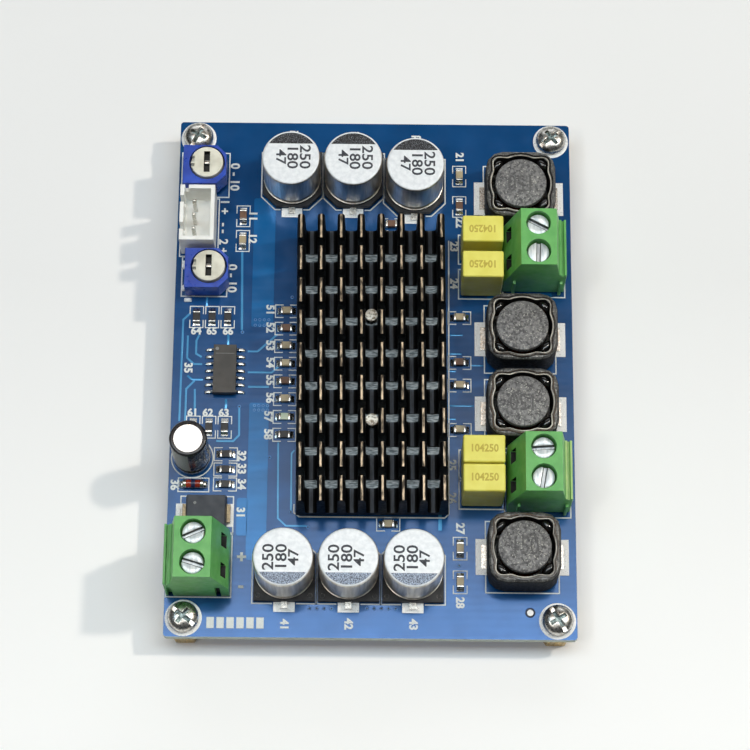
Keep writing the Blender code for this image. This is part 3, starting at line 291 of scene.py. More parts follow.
def joined(name, pieces):
    bpy.ops.object.select_all(action="DESELECT")
    for piece in pieces:
        piece.select_set(True)
    bpy.context.view_layer.objects.active = pieces[0]
    if len(pieces) > 1:
        bpy.ops.object.join()
    pieces[0].name = name
    return pieces[0]


def spread(name, model, places):
    """One piece made of copies of a model at (x, y) or (x, y, turn) places. The model is used up."""
    copies = [copy_of(model, name, (x, y), *turn) for x, y, *turn in places]
    bpy.data.objects.remove(model)
    return joined(name, copies)


def refined(name, node, width, segments=2):
    """A node's own shape with clean faces and rounded edges."""
    alone(frame["nodes"][node])
    bpy.ops.object.duplicate(linked=False)
    piece = bpy.context.active_object
    bpy.ops.object.parent_clear(type="CLEAR_KEEP_TRANSFORM")
    for key in list(piece.keys()):
        del piece[key]
    piece.name = name
    piece.data.materials.clear()
    edited(piece)
    bpy.ops.mesh.remove_doubles(threshold=0.002 * MM)
    bpy.ops.mesh.dissolve_limited(angle_limit=math.radians(1.0))
    closed(piece)
    return softened(placed(piece), width, segments)


def rounded_outline(width, length, radius, steps=6, centre=(0.0, 0.0)):
    points = []
    for corner, (sx, sy) in enumerate(((1, 1), (-1, 1), (-1, -1), (1, -1))):
        for step in range(steps + 1):
            angle = math.pi / 2 * (corner + step / steps)
            x = centre[0] + sx * (width / 2 - radius) + radius * math.cos(angle)
            y = centre[1] + sy * (length / 2 - radius) + radius * math.sin(angle)
            points.append((x, y))
    return points


def ribbon_outline(points, width):
    """Both sides of a line of even width through the points, with mitred corners."""
    path = [Vector(point) for point in points]
    left, right = [], []
    for index, point in enumerate(path):
        ahead = (path[min(index + 1, len(path) - 1)] - path[max(index, 1) - 1]).normalized()
        if 0 < index < len(path) - 1:
            arrival = (point - path[index - 1]).normalized()
            departure = (path[index + 1] - point).normalized()
            ahead = (arrival + departure).normalized()
            reach = width / 2 / max(0.4, ahead.dot(arrival))
        else:
            reach = width / 2
        across = Vector((-ahead.y, ahead.x)) * reach
        left.append(point + across)
        right.append(point - across)
    return [tuple(point) for point in left + right[::-1]]


def ribbon(name, points, width, low, high):
    return prism(name, ribbon_outline(points, width), low, high)


def tube(name, points, radius):
    """A round bead along a closed path."""
    bead = closed(drawn(name, [*points, points[0]]))
    alone(bead)
    bpy.ops.object.convert(target="CURVE")
    bead = bpy.context.active_object
    bead.data.bevel_depth = radius
    bead.data.bevel_resolution = 1
    bpy.ops.object.convert(target="MESH")
    bead = bpy.context.active_object
    edited(bead)
    closed(bead)
    return smooth(bead, 60.0)


def lettered(name, text, size, place, height, turn=0.0, rise=0.03 * MM, weight=0.02, narrow=1.0):
    """Plain figures or signs as a thin raised print, centred on a place."""
    bpy.ops.object.select_all(action="DESELECT")
    bpy.ops.object.text_add(location=(0.0, 0.0, 0.0))
    piece = bpy.context.active_object
    piece.data.body = text
    piece.data.size = size
    piece.data.extrude = rise / 2
    piece.data.offset = weight * size
    piece.data.align_x = "CENTER"
    piece.data.align_y = "CENTER"
    piece.data.resolution_u = 3
    bpy.ops.object.convert(target="MESH")
    piece = bpy.context.active_object
    piece.name = name
    piece.scale = (narrow, 1.0, 1.0)
    piece.rotation_euler = (0.0, 0.0, turn)
    piece.location = (*place, height)
    return placed(piece)


# Finishes

class Field:
    """A value over a surface, on which plain arithmetic can be done."""

    def __init__(self, look, socket):
        self.look = look
        self.socket = socket

    def maths(self, operation, other):
        return self.look.node("ShaderNodeMath", {"operation": operation}, {0: self, 1: other})

    def __add__(self, other):
        return self.maths("ADD", other)

    def __mul__(self, other):
        return self.maths("MULTIPLY", other)


class Look:
    """A material on a Principled shader. Colours are given as they look, in sRGB from 0 to 255."""

    def __init__(self, name, colour, roughness, metallic=0.0, **plain):
        self.material = bpy.data.materials.new(name)
        self.material.use_nodes = True
        self.tree = self.material.node_tree
        self.shader = self.tree.nodes["Principled BSDF"]
        self.shader.inputs["Base Color"].default_value = paint(colour)
        self.shader.inputs["Roughness"].default_value = roughness
        self.shader.inputs["Metallic"].default_value = metallic
        for socket, value in plain.items():
            self.shader.inputs[socket.replace("_", " ")].default_value = value
        self.material.diffuse_color = paint(colour)
        self.point = self.node("ShaderNodeTexCoord", {}, {}, "Object")

    def node(self, kind, settings, sockets, output=0):
        """Adds a node: its settings first, then the values or links of its sockets."""
        made = self.tree.nodes.new(kind)
        for setting, value in settings.items():
            setattr(made, setting, value)
        for socket, value in sockets.items():
            if isinstance(value, Field):
                self.tree.links.new(value.socket, made.inputs[socket])
            else:
                made.inputs[socket].default_value = value
        return Field(self, made.outputs[output])

    def feed(self, socket, field):
        self.tree.links.new(field.socket, self.shader.inputs[socket])

    def noise(self, size, detail=3.0, stretch=(1.0, 1.0, 1.0), centre=(0.0, 0.0, 0.0)):
        """Cloudy variation from 0 to 1, with features of about the given size."""
        placing = {"Vector": self.point, "Location": centre, "Scale": stretch}
        mapped = self.node("ShaderNodeMapping", {"vector_type": "TEXTURE"}, placing)
        return self.node("ShaderNodeTexNoise", {}, {"Vector": mapped, "Scale": 1.0 / size, "Detail": detail})

    def waves(self, axis, length, distortion):
        """Bands of the given length that follow each other along an axis."""
        return self.node(
            "ShaderNodeTexWave",
            {"wave_type": "BANDS", "bands_direction": axis},
            {"Vector": self.point, "Scale": 1.0 / length, "Distortion": distortion, "Detail": 2.0},
        )

    def across(self, axis):
        """The place along one axis, in metres."""
        return self.node("ShaderNodeSeparateXYZ", {}, {"Vector": self.point}, axis)

    def spread_to(self, field, low, high, start=0.0, end=1.0):
        """Stretches part of a field's range over another range."""
        reach = {"Value": field, "From Min": low, "From Max": high, "To Min": start, "To Max": end}
        return self.node("ShaderNodeMapRange", {"clamp": True}, reach)

    def blend(self, factor, first, second):
        """A mix of two colours, each a paint or a field."""
        return self.node("ShaderNodeMix", {"data_type": "RGBA"}, {0: factor, 6: first, 7: second}, 2)

    def bump(self, field, depth):
        relief = {"Height": field, "Distance": depth, "Strength": 1.0}
        self.feed("Normal", self.node("ShaderNodeBump", {}, relief))
        return self

    def mottle(self, colour, other, size, low=0.35, high=0.65, detail=3.0, stretch=(1.0, 1.0, 1.0)):
        """Colour that wanders between two paints."""
        cloud = self.spread_to(self.noise(size, detail, stretch), low, high)
        self.feed("Base Color", self.blend(cloud, paint(colour), paint(other)))
        return self

    def wear(self, rough, smoother, size, stretch=(1.0, 1.0, 1.0)):
        """Roughness that wanders between two values."""
        cloud = self.noise(size, 2.0, stretch)
        self.feed("Roughness", self.spread_to(cloud, 0.3, 0.7, rough, smoother))
        return self

    def grain(self, size, depth, detail=3.0, stretch=(1.0, 1.0, 1.0)):
        return self.bump(self.noise(size, detail, stretch), depth)


def paint(colour):
    """An sRGB colour from 0 to 255 as linear light."""
    linear = []
    for part in colour:
        part = part / 255
        linear.append(part / 12.92 if part <= 0.04045 else ((part + 0.055) / 1.055) ** 2.4)
    return (*linear, 1.0)


def moulded(name, colour, shade, roughness=0.45, size=0.25 * MM, depth=0.006 * MM, **plain):
    """Moulded plastic: a little uneven in colour and gloss, with a fine grain."""
    look = Look(name, colour, roughness, **plain)
    look.mottle(colour, shade, 2.5 * MM)
    look.wear(roughness - 0.08, roughness + 0.10, 1.2 * MM)
    return look.grain(size, depth)


def metal(name, colour, shade, roughness=0.3, size=0.4 * MM, depth=0.004 * MM, stretch=(1, 1, 1), **plain):
    """Plated or bare metal, with fine marks that can run one way."""
    look = Look(name, colour, roughness, 1.0, **plain)
    look.mottle(colour, shade, size * 2, stretch=stretch)
    look.wear(roughness - 0.08, roughness + 0.12, size, stretch)
    return look.grain(size / 2, depth, stretch=stretch)


def printed(name, colour, shade, size=0.12 * MM):
    """Ink with a slightly broken surface."""
    look = Look(name, colour, 0.55)
    look.mottle(colour, shade, size, 0.30, 0.75)
    return look.grain(size, 0.004 * MM)


def laminate_edge():
    """The cut edge of the board: layers of glass cloth in resin."""
    look = Look("cut_laminate", (196, 205, 196), 0.7)
    layers = look.waves("Z", 1.3 * MM, 2.0)
    look.feed("Base Color", look.blend(layers, paint((176, 184, 170)), paint((214, 222, 214))))
    return look.grain(0.1 * MM, 0.01 * MM)


def masked(name, deep, pale, weave=0.0012 * MM):
    """Solder mask: glossy, with the glass cloth and small dips showing through."""
    look = Look(name, deep, 0.16, 0.30, Specular_IOR_Level=0.6)
    look.mottle(deep, pale, 7 * MM, detail=4.0)
    look.wear(0.14, 0.20, 3 * MM)
    cloth = look.waves("X", 4.0 * MM, 1.5) + look.waves("Y", 4.0 * MM, 1.5)
    return look.bump(cloth + look.noise(0.3 * MM), weave)


def tinned():
    """Solder-tinned pad: bright, with dull specks."""
    look = Look("tinned_pad", (248, 248, 246), 0.45)
    specks = look.noise(0.20 * MM, 2.0)
    dull = look.spread_to(specks, 0.60, 0.70)
    look.feed("Base Color", look.blend(dull, paint((252, 252, 250)), paint((196, 198, 198))))
    look.wear(0.28, 0.5, 0.5 * MM)
    return look.bump(specks, 0.012 * MM)


def anodised():
    look = Look("black_anodised", (7, 7, 8), 0.50, 0.0, Specular_IOR_Level=0.16)
    look.mottle((5, 5, 6), (11, 11, 13), 1.5 * MM)
    look.wear(0.42, 0.60, 0.6 * MM, (1.0, 12.0, 1.0))
    return look.grain(0.12 * MM, 0.004 * MM, stretch=(1.0, 14.0, 1.0))


def drawn_aluminium():
    """The side of a can: streaks run up it."""
    look = Look("can_side", (212, 206, 196), 0.38, 0.95)
    look.mottle((200, 193, 182), (230, 224, 214), 0.5 * MM, stretch=(1.0, 1.0, 14.0))
    look.wear(0.30, 0.46, 0.4 * MM, (1.0, 1.0, 10.0))
    return look.grain(0.1 * MM, 0.003 * MM, stretch=(1.0, 1.0, 12.0))


def ferrite(name, colour, shade, speck, size=0.5 * MM, depth=0.03 * MM, roughness=0.55):
    """Pressed ferrite: rough, mottled, with small bright specks."""
    look = Look(name, colour, roughness, 0.25)
    cloud = look.spread_to(look.noise(size, 5.0), 0.38, 0.62)
    body = look.blend(cloud, paint(colour), paint(shade))
    specks = look.spread_to(look.noise(size * 0.6, 2.0, centre=(0.01, 0.0, 0.0)), 0.60, 0.68)
    look.feed("Base Color", look.blend(specks, body, paint(speck)))
    look.wear(roughness - 0.12, roughness + 0.15, size)
    return look.grain(size * 0.7, depth, 5.0)


LOOKS = {
    "mask": masked("blue_mask", (14, 76, 132), (20, 84, 144)),
    "copper_mask": masked("mask_over_copper", (16, 104, 170), (22, 112, 180)),
    # Mask over tracks: lighter from the copper below, and lighter still as painted highlight.
    "track_mask": masked("mask_over_track_painted_highlight", (62, 148, 206), (76, 160, 216)),
    "via_rim": moulded("covered_rim", (84, 140, 196), (60, 116, 178), 0.3, 0.2 * MM, 0.004 * MM),
    "edge": laminate_edge(),
    "print": printed("white_print", (236, 238, 234), (206, 212, 212)),
    "tin": tinned(),
    "solder": metal("solder", (222, 222, 218), (170, 172, 170), 0.22, 0.3 * MM, 0.010 * MM),
    # Painted shade: a dark colour standing in for the depth of a hole.
    "hole": moulded("hole_painted_shade", (12, 22, 40), (20, 34, 60), 0.6),
    "anodised": anodised(),
    # Painted highlight: the anodised fin crests coloured pale and warm, as lit.
    "crest": Look("crest_painted_highlight", (168, 150, 126), 0.38, 0.65)
    .mottle((204, 184, 156), (62, 54, 44), 0.35 * MM, 0.36, 0.62, 3.0, (1, 4, 1))
    .wear(0.28, 0.48, 0.4 * MM)
    .grain(0.15 * MM, 0.012 * MM),
    "sawn": Look("sawn_floor", (120, 128, 130), 0.45, 0.5)
    .mottle((172, 180, 182), (76, 86, 90), 0.20 * MM, 0.35, 0.62, 4.0, (5, 1, 1))
    .wear(0.35, 0.6, 0.3 * MM)
    .grain(0.14 * MM, 0.012 * MM, stretch=(5, 1, 1)),
    # Painted sheen: the anodised valley floors coloured lighter and bluish, as lit from above.
    "valley": Look("valley_painted_sheen", (58, 68, 78), 0.45, 0.25)
    .mottle((66, 76, 88), (44, 52, 60), 0.3 * MM, stretch=(1, 10, 1))
    .wear(0.38, 0.55, 0.4 * MM)
    .grain(0.1 * MM, 0.004 * MM, stretch=(1, 10, 1)),
    "can_side": drawn_aluminium(),
    "can_top": Look("can_top", (238, 241, 243), 0.42, 0.12)
    .mottle((242, 245, 247), (226, 230, 233), 0.8 * MM)
    .wear(0.36, 0.52, 0.5 * MM)
    .grain(0.2 * MM, 0.004 * MM),
    "far_mark": Look("far_segment", (30, 30, 34), 0.45, 0.2)
    .mottle((22, 22, 26), (130, 134, 142), 0.16 * MM, 0.52, 0.70, 2.0)
    .grain(0.15 * MM, 0.010 * MM),
    # Painted sheen: the same print as on the far row, coloured lighter and bluish for the near row.
    "can_mark": Look("near_segment_painted_sheen", (110, 118, 134), 0.45, 0.2)
    .mottle((58, 64, 78), (176, 190, 210), 0.16 * MM, 0.38, 0.64, 2.0)
    .grain(0.15 * MM, 0.010 * MM),
    "ink": printed("black_ink", (26, 28, 36), (70, 74, 84)),
    "base": moulded("black_base", (40, 40, 42), (58, 58, 60), 0.6, 0.16 * MM, 0.03 * MM),
    "shield": ferrite(
        "grey_shield", (104, 104, 102), (60, 60, 60), (150, 148, 142), depth=0.02 * MM, roughness=0.34
    ),
    # Painted shade: the shield's sides, the same ferrite, coloured near black as unlit.
    "shield_side_painted_shade": ferrite(
        "shield_side_painted_shade", (26, 26, 28), (16, 16, 18), (46, 46, 46), depth=0.008 * MM, roughness=0.72
    ),
    # Painted highlight: a pale bead standing in for the light caught on the rim of a coil's well.
    "rim": moulded("rim_bead_painted_highlight", (226, 220, 206), (120, 116, 108), 0.25, 0.5 * MM, 0.020 * MM),
    "drum": ferrite("drum_end", (126, 125, 124), (78, 77, 78), (176, 174, 166), 0.42 * MM, 0.030 * MM),
    "drum_mark": printed("drum_mark", (58, 57, 58), (104, 103, 102), 0.16 * MM),
    "glue": moulded("black_glue", (9, 8, 8), (16, 15, 14), 0.16, 0.8 * MM, 0.05 * MM, Coat_Weight=0.6),
    "winding": metal("enamelled_copper", (184, 98, 52), (120, 60, 34), 0.28, 0.3 * MM, 0.004 * MM),
    "resin": moulded("yellow_resin", (236, 228, 108), (228, 218, 92), 0.40, 0.5 * MM, 0.004 * MM),
    "resin_mark": printed("sunken_mark", (196, 176, 62), (186, 164, 54)),
    "green": moulded("green_nylon", (108, 186, 98), (94, 172, 88), 0.38, 0.5 * MM, 0.005 * MM),
    # Painted shade: the housing's own green, darkened to near black inside its wells and openings.
    "green_painted_shade": moulded("green_recess_painted_shade", (5, 11, 6), (3, 7, 4), 0.7),
    # Painted highlight: the housing's own green, lightened on one terminal's lit ledge.
    "green_painted_highlight": moulded("green_ledge_painted_highlight", (188, 218, 138), (164, 206, 124), 0.35, 0.4 * MM, 0.004 * MM),
    "screw": Look("plated_screw", (232, 236, 238), 0.38, 0.35)
    .mottle((240, 243, 244), (178, 188, 194), 0.45 * MM, 0.30, 0.72, 3.0, (1, 5, 1))
    .wear(0.30, 0.46, 0.4 * MM)
    .grain(0.2 * MM, 0.002 * MM, stretch=(1, 5, 1)),
    "slot_shade": moulded("slot_shade", (26, 32, 32), (44, 50, 50), 0.5),
    "steel": metal("bright_steel", (226, 223, 216), (160, 157, 150), 0.28, 0.3 * MM, 0.008 * MM),
    # Painted shade: the screw's own steel, darkened inside its cross.
    "recess": metal("recess_steel_painted_shade", (132, 144, 142), (66, 76, 76), 0.34, 0.3 * MM, 0.008 * MM),
    "clamp": metal("plated_clamp", (200, 198, 188), (160, 158, 150), 0.32),
    "trimmer": moulded("blue_case", (40, 80, 186), (30, 62, 158), 0.32, 0.4 * MM, 0.006 * MM),
    "dial": moulded("ivory_dial", (232, 229, 212), (208, 204, 186), 0.45, 0.35 * MM, 0.020 * MM),
    # Painted shade: the slot of the ivory dial, coloured near black as unlit.
    "dial_slot_painted_shade": moulded("dial_slot_painted_shade", (22, 22, 18), (38, 36, 30), 0.5),
    "socket": moulded("white_nylon", (250, 250, 246), (240, 240, 234), 0.42, 0.4 * MM, 0.005 * MM),
    "sleeve": moulded("black_sleeve", (22, 22, 25), (34, 34, 38), 0.24, 0.6 * MM, 0.010 * MM),
    "sleeve_print": printed("sleeve_print", (150, 152, 150), (96, 98, 98)),
    "screw_tip": Look("screw_tip", (214, 206, 186), 0.5, 0.4)
    .mottle((252, 248, 236), (140, 126, 100), 0.45 * MM, 0.48, 0.66)
    .wear(0.4, 0.6, 0.3 * MM)
    .grain(0.3 * MM, 0.03 * MM),
    "bright_disc": metal("bright_disc", (246, 246, 246), (226, 226, 226), 0.3, 0.5 * MM, 0.006 * MM),
    "chip": moulded("chip_moulding", (72, 68, 64), (60, 58, 55), 0.55, 0.12 * MM, 0.012 * MM),
    "diode": moulded("diode_moulding", (56, 60, 68), (46, 50, 58), 0.55, 0.12 * MM, 0.012 * MM),
    "lead": metal("tinned_lead", (232, 230, 224), (184, 180, 172), 0.28, 0.2 * MM, 0.006 * MM),
    "dull_lead": metal("dull_lead", (150, 136, 110), (112, 102, 84), 0.4, 0.3 * MM, 0.006 * MM),
    "ceramic_tan": moulded("tan_ceramic", (188, 174, 142), (168, 152, 120), 0.45, 0.1 * MM, 0.008 * MM),
    "ceramic_brown": moulded("brown_ceramic", (120, 84, 60), (98, 66, 46), 0.45, 0.1 * MM, 0.008 * MM),
    "resistor": moulded("resistor_face", (34, 34, 36), (24, 24, 26), 0.4, 0.1 * MM, 0.006 * MM),
    "glass": moulded(
        "orange_glass", (176, 60, 34), (140, 40, 26), 0.12, 0.4 * MM, 0.004 * MM, Coat_Weight=0.8
    ),
    "glass_core": moulded("blue_band", (42, 52, 92), (30, 40, 76), 0.3),
    "lamp": moulded(
        "pale_lamp", (206, 224, 200), (182, 206, 180), 0.25, 0.3 * MM, 0.004 * MM, Coat_Weight=0.5
    ),
    "brass": metal("hex_brass", (206, 176, 104), (168, 138, 74), 0.28, 0.3 * MM, 0.004 * MM, (1, 1, 8)),
}


def coat(piece, look):
    piece.data.materials.clear()
    piece.data.materials.append(LOOKS[look].material)
    return piece


def face_coat(piece, look, wanted):
    """Gives the faces that answer a test a second look."""
    piece.data.materials.append(LOOKS[look].material)
    number = len(piece.data.materials) - 1
    for face in piece.data.polygons:
        if wanted(face):
            face.material_index = number
    return piece


def dressed(piece, look, body=BOARD, stands_for=None):
    """Gives a finished piece its look, its body and the node that it stands for."""
    if look:
        coat(piece, look)
    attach(piece, body)
    if stands_for:
        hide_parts(stands_for)
    return piece


# Places and sizes that several pieces share

CANS = [middle(f"capacitor_can_{n}") for n in range(1, 7)]
COILS = [middle(f"coil_core_{n}") for n in range(1, 5)]
FILMS = [middle(f"film_capacitor_{n}") for n in range(1, 5)]
FIXINGS = [middle(f"standoff_{n}") for n in range(1, 5)]
SINK_SCREWS = [middle(f"heatsink_screw_{n}") for n in (1, 2)]
LEFT_COLUMN = [(-15.0 * MM, (11.0 - 3.2 * row) * MM) for row in range(8)]
RIGHT_FLAT = [(14.95 * MM, y * MM) for y in (10.05, 1.85, -2.25, -10.25)]
ROW_END = [(14.97 * MM, y * MM) for y in (36.6, 30.8, -31.1, -36.9)]
INPUT_PAIR = [(-22.95 * MM, y * MM) for y in (28.65, 24.0)]
BOARD_ENDS = [(3.05 * MM, 27.3 * MM), (2.85 * MM, -27.0 * MM)]
RESISTOR_ROWS = [(x * MM, y * MM) for y in (9.8, -10.15) for x in (-30.6, -27.9, -25.2)]
RESISTOR_STACK = [(-24.87 * MM, y * MM) for y in (-14.95, -17.65, -20.27)]
GLASS_DIODE = (-30.2 * MM, -20.4 * MM)
TEST_POINT = (26.65 * MM, -42.0 * MM)
UPRIGHT = math.pi / 2
FIXING_BORE = 3.5 * MM
SINK_SCREW_BORE = 2.8 * MM
# Offsets and pitches in millimetres, for several pieces each.
TRIMMER_LEADS = ((-2.5, 2.5), (-2.5, -2.5), (2.5, 0.0))
PIN_PITCH = 2.54
CHIP_PITCH = 1.27
CAN_PAD_REACH = 6.0
FILM_LEAD_REACH = 2.5
# How the slots of each terminal's two screws are turned, in degrees.
TERMINAL_SLOTS = {
    "power_terminal": (24.0, -17.0),
    "left_speaker_terminal": (-28.0, 88.0),
    "right_speaker_terminal": (4.0, 80.0),
}


# The board with its mask, tracks, pads and print

def make_slab():
    outline = rounded_outline(BOARD_RIGHT - BOARD_LEFT, BOARD_FAR - BOARD_NEAR, 0.6 * MM)
    slab = prism("board_slab", outline, BOARD_TOP - BOARD_THICKNESS, BOARD_TOP)
    for places, bore, sides in ((FIXINGS, FIXING_BORE, 40), (SINK_SCREWS, SINK_SCREW_BORE, 32)):
        for place in places:
            carved(slab, rod("bore", place, 0.0, 2 * BOARD_TOP, bore, sides))
    coat(slab, "mask")
    face_coat(slab, "edge", lambda face: abs(face.normal.z) < 0.5)
    softened(slab, 0.05 * MM, 1, 60.0)
    dressed(slab, None, stands_for="circuit_board")


def pad(x, y, width, length):
    """A tinned pad: a thin plate with a rounded shoulder, its size in millimetres."""
    plate = cuboid(x, y, width * MM, length * MM, BOARD_TOP - COPPER_RISE, BOARD_TOP + PAD_RISE)
    return softened(plate, PAD_RISE * 0.45, 2)


def mound(x, y, width, length, height):
    """A rounded lump of solder on a pad, its size in millimetres."""
    lump = cuboid(x, y, width * MM, length * MM, BOARD_TOP, BOARD_TOP + height * MM)
    picked(lump, lambda face: face.normal.z > 0.5)
    bpy.ops.transform.resize(value=(0.55, 0.55, 1.0), center_override=(x, y, BOARD_TOP))
    return softened(closed(lump), height * MM * 0.4, 3, 20.0)


def make_pads():
    pads = [pad(*place, 3.6, 1.7) for place in both_sides(CANS, 0.0, CAN_PAD_REACH)]
    pads += [pad(*place, 3.0, 6.2) for place in both_sides(COILS, 6.35, 0.0)]
    x, y = middle("power_diode")
    pads += [pad(x - 4.35 * MM, y, 1.8, 4.0), pad(x + 3.95 * MM, y, 1.2, 4.0)]
    ring = in_metres([(1.8, 0.0), (1.8, 0.08), (2.95, 0.08), (3.1, 0.0)])
    pads += [turned("ring", ring, ring=True, place=(*place, BOARD_TOP)) for place in FIXINGS]
    for node in ("trimmer_body_1", "trimmer_body_2"):
        for place in around(middle(node), TRIMMER_LEADS):
            pads.append(rod("pad", place, BOARD_TOP, BOARD_TOP + 0.05 * MM, 1.8 * MM))
    dressed(joined("tinned_pads", pads), "tin")


def make_pad_solder():
    mounds = [mound(*place, 3.1, 1.5, 0.30) for place in both_sides(CANS, 0.0, CAN_PAD_REACH)]
    mounds += [mound(*place, 1.2, 5.8, 0.22) for place in both_sides(COILS, 7.15, 0.0)]
    x, y = middle("power_diode")
    mounds.append(mound(x - 4.75 * MM, y, 0.9, 3.0, 0.3))
    for x, y, width, length in ((-33.1, 19.4, 0.9, 1.8), (-33.0, 15.1, 0.7, 1.3), (-32.2, 12.9, 1.5, 0.9)):
        mounds.append(mound(x * MM, y * MM, width, length, 0.5))
    dressed(joined("pad_solder", mounds), "tin")
    rows = around(middle("preamp_chip"), [(0.0, (row - 3) * CHIP_PITCH) for row in range(7)])
    feet = [mound(*place, 1.1, 0.62, 0.24) for place in both_sides(rows, 2.95, 0.0)]
    dressed(joined("preamp_solder", feet), "solder")


def make_test_point():
    # The ring's dark colour is painted shade round the filled hole.
    for name, inner, outer, look in (("test_dot", 0.0, 0.55, "tin"), ("test_ring", 0.55, 0.85, "hole")):
        profile = [(inner, -0.01), (inner, 0.06), (outer - 0.08, 0.06), (outer, 0.02), (outer, -0.01)]
        dot = turned(name, in_metres(profile), 32, inner > 0.0, (*TEST_POINT, BOARD_TOP))
        dressed(dot, look)


# Tracks: width and points in millimetres. Zones: left, far, right, near. Rows of vias: x, y, pitch, count.
TRACKS = (
    (0.35, ((-31.8, 10.4), (-32.9, 9.3), (-33.0, -9.1))),
    (0.35, ((-30.0, 6.6), (-30.5, 5.5), (-30.5, 3.1), (-29.5, 2.5))),
    (0.35, ((-32.0, 6.4), (-32.0, 2.3), (-30.8, 1.2), (-29.4, 1.2))),
    (0.40, ((-23.0, 22.2), (-22.7, 7.5))),
    (0.35, ((-28.9, 13.7), (-28.9, 11.8))),
    (0.40, ((-25.0, 6.7), (-25.0, 4.7))),
    (0.35, ((-21.6, 3.6), (-19.9, 3.6), (-16.5, 6.8))),
    (0.35, ((-21.5, -0.2), (-17.4, -0.2), (-16.1, 1.0))),
    (0.35, ((-21.4, -2.8), (-17.8, -2.8))),
    (0.35, ((-31.9, -0.9), (-31.0, -1.6), (-29.2, -1.6))),
    (0.35, ((-32.0, -9.1), (-32.0, -3.3), (-30.6, -1.8))),
    (0.35, ((-30.5, -3.3), (-30.4, -7.8))),
    (0.40, ((-25.1, -5.1), (-25.1, -6.8))),
    (0.35, ((-22.8, -6.7), (-22.7, -11.5), (-23.7, -12.6), (-26.6, -12.6))),
    (0.30, ((-16.0, -12.7), (-15.8, -26.1), (-14.4, -27.4), (-10.9, -27.4))),
    (0.30, ((-13.2, -14.1), (-13.7, -14.7), (-13.6, -24.7))),
    (0.25, ((12.8, 6.9), (15.5, 6.9))),
    (0.25, ((12.8, 3.5), (15.3, 3.5))),
    (0.25, ((16.9, 1.4), (19.1, 1.4))),
    (0.25, ((12.8, 0.3), (14.3, 0.3))),
    (0.25, ((12.8, -5.9), (17.4, -5.9))),
    (0.25, ((12.8, -8.3), (14.3, -8.3))),
    (0.60, ((11.6, -23.2), (11.6, -28.0))),
    (0.60, ((11.6, 23.0), (11.6, 27.5))),
)
ZONES = (
    (-21.1, 32.1, -17.3, 8.1),
    (-21.1, -5.7, -17.7, -33.4),
    (-22.8, -22.6, -21.0, -29.2),
    (19.8, 12.4, 31.0, 14.8),
)
VIA_ROWS = (
    (-20.4, 9.4, 0.77, 4), (-20.4, 8.4, 0.77, 4), (-20.2, -6.2, 0.74, 4), (-20.2, -7.0, 0.74, 4),
    (-10.2, -41.6, 1.23, 4), (-0.6, -41.5, 1.2, 5),
)
SINGLE_VIAS = (
    (-22.6, 7.1), (-22.8, -6.4), (-17.4, -15.4), (-13.6, -25.0), (-10.7, -27.6), (-14.1, 13.6), (14.8, -34.0),
)
VIAS = SINGLE_VIAS + tuple((x + step * pitch, y) for x, y, pitch, count in VIA_ROWS for step in range(count))


def make_tracks():
    low = BOARD_TOP - COPPER_RISE
    tracks = []
    for width, points in TRACKS:
        tracks.append(ribbon("track", in_metres(points), width * MM, low, BOARD_TOP + TRACK_RISE))
    # The tracks' lighter colour is partly painted highlight.
    dressed(softened(joined("covered_tracks", tracks), 0.03 * MM, 2), "track_mask")
    zones = []
    for left, far, right, near in ZONES:
        centre = ((left + right) / 2, (far + near) / 2)
        outline = rounded_outline(right - left, far - near, 0.4, 4, centre)
        zones.append(prism("zone", in_metres(outline), low, BOARD_TOP + COPPER_RISE))
    dressed(softened(joined("covered_copper", zones), 0.02 * MM, 2), "copper_mask")
    places = in_metres(VIAS)
    profile = in_metres([(0.14, 0.0), (0.14, 0.05), (0.26, 0.05), (0.32, 0.0)])
    ring = turned("via", profile, 16, ring=True, place=(0.0, 0.0, BOARD_TOP))
    dressed(spread("via_rings", ring, places), "via_rim")
    # Dark discs that stand in for the shade inside the via holes.
    floor = rod("via_hole_shade", (0.0, 0.0), BOARD_TOP - 0.01 * MM, BOARD_TOP + 0.02 * MM, 0.30 * MM, 12)
    dressed(spread("via_hole_shades", floor, places), "hole")


def outline_print(points, width=0.22 * MM, shut=True):
    """A printed line along the points, or a frame that follows them all round."""
    low, high = BOARD_TOP - COPPER_RISE, BOARD_TOP + PRINT_RISE
    if not shut:
        return ribbon("line", points, width, low, high)
    line = drawn("line", [(x, y, low) for x, y in points])
    bpy.ops.mesh.select_all(action="SELECT")
    bpy.ops.mesh.edge_face_add()
    bpy.ops.mesh.inset(thickness=width, use_even_offset=True)
    bpy.ops.mesh.delete(type="FACE")
    bpy.ops.mesh.select_all(action="SELECT")
    bpy.ops.mesh.extrude_region_move(TRANSFORM_OT_translate={"value": (0.0, 0.0, high - low)})
    return closed(line)


def framed(x, y, width, length, line=0.2 * MM):
    """A printed frame, given by its middle and size."""
    return outline_print(rounded_outline(width, length, 0.01 * MM, 1, (x, y))[::2], line)


def bracket(x, y, turn):
    """Two printed brackets round the ends of a small part."""
    cosine, sine = math.cos(turn), math.sin(turn)
    lines = []
    for side in (1, -1):
        points = [(side * 0.55, 1.15), (side * 1.95, 1.15), (side * 1.95, -1.15), (side * 0.55, -1.15)]
        points = [(px * cosine - py * sine, px * sine + py * cosine) for px, py in points]
        lines.append(outline_print(around((x, y), points), 0.16 * MM, shut=False))
    return joined("bracket", lines)


def numbered(text, x, y, size, turn, weight):
    """Plain figures in white on the board, placed in millimetres."""
    height = BOARD_TOP + 0.05 * MM
    return lettered("figure", text, size * MM, (x * MM, y * MM), height, turn, 0.05 * MM, weight)


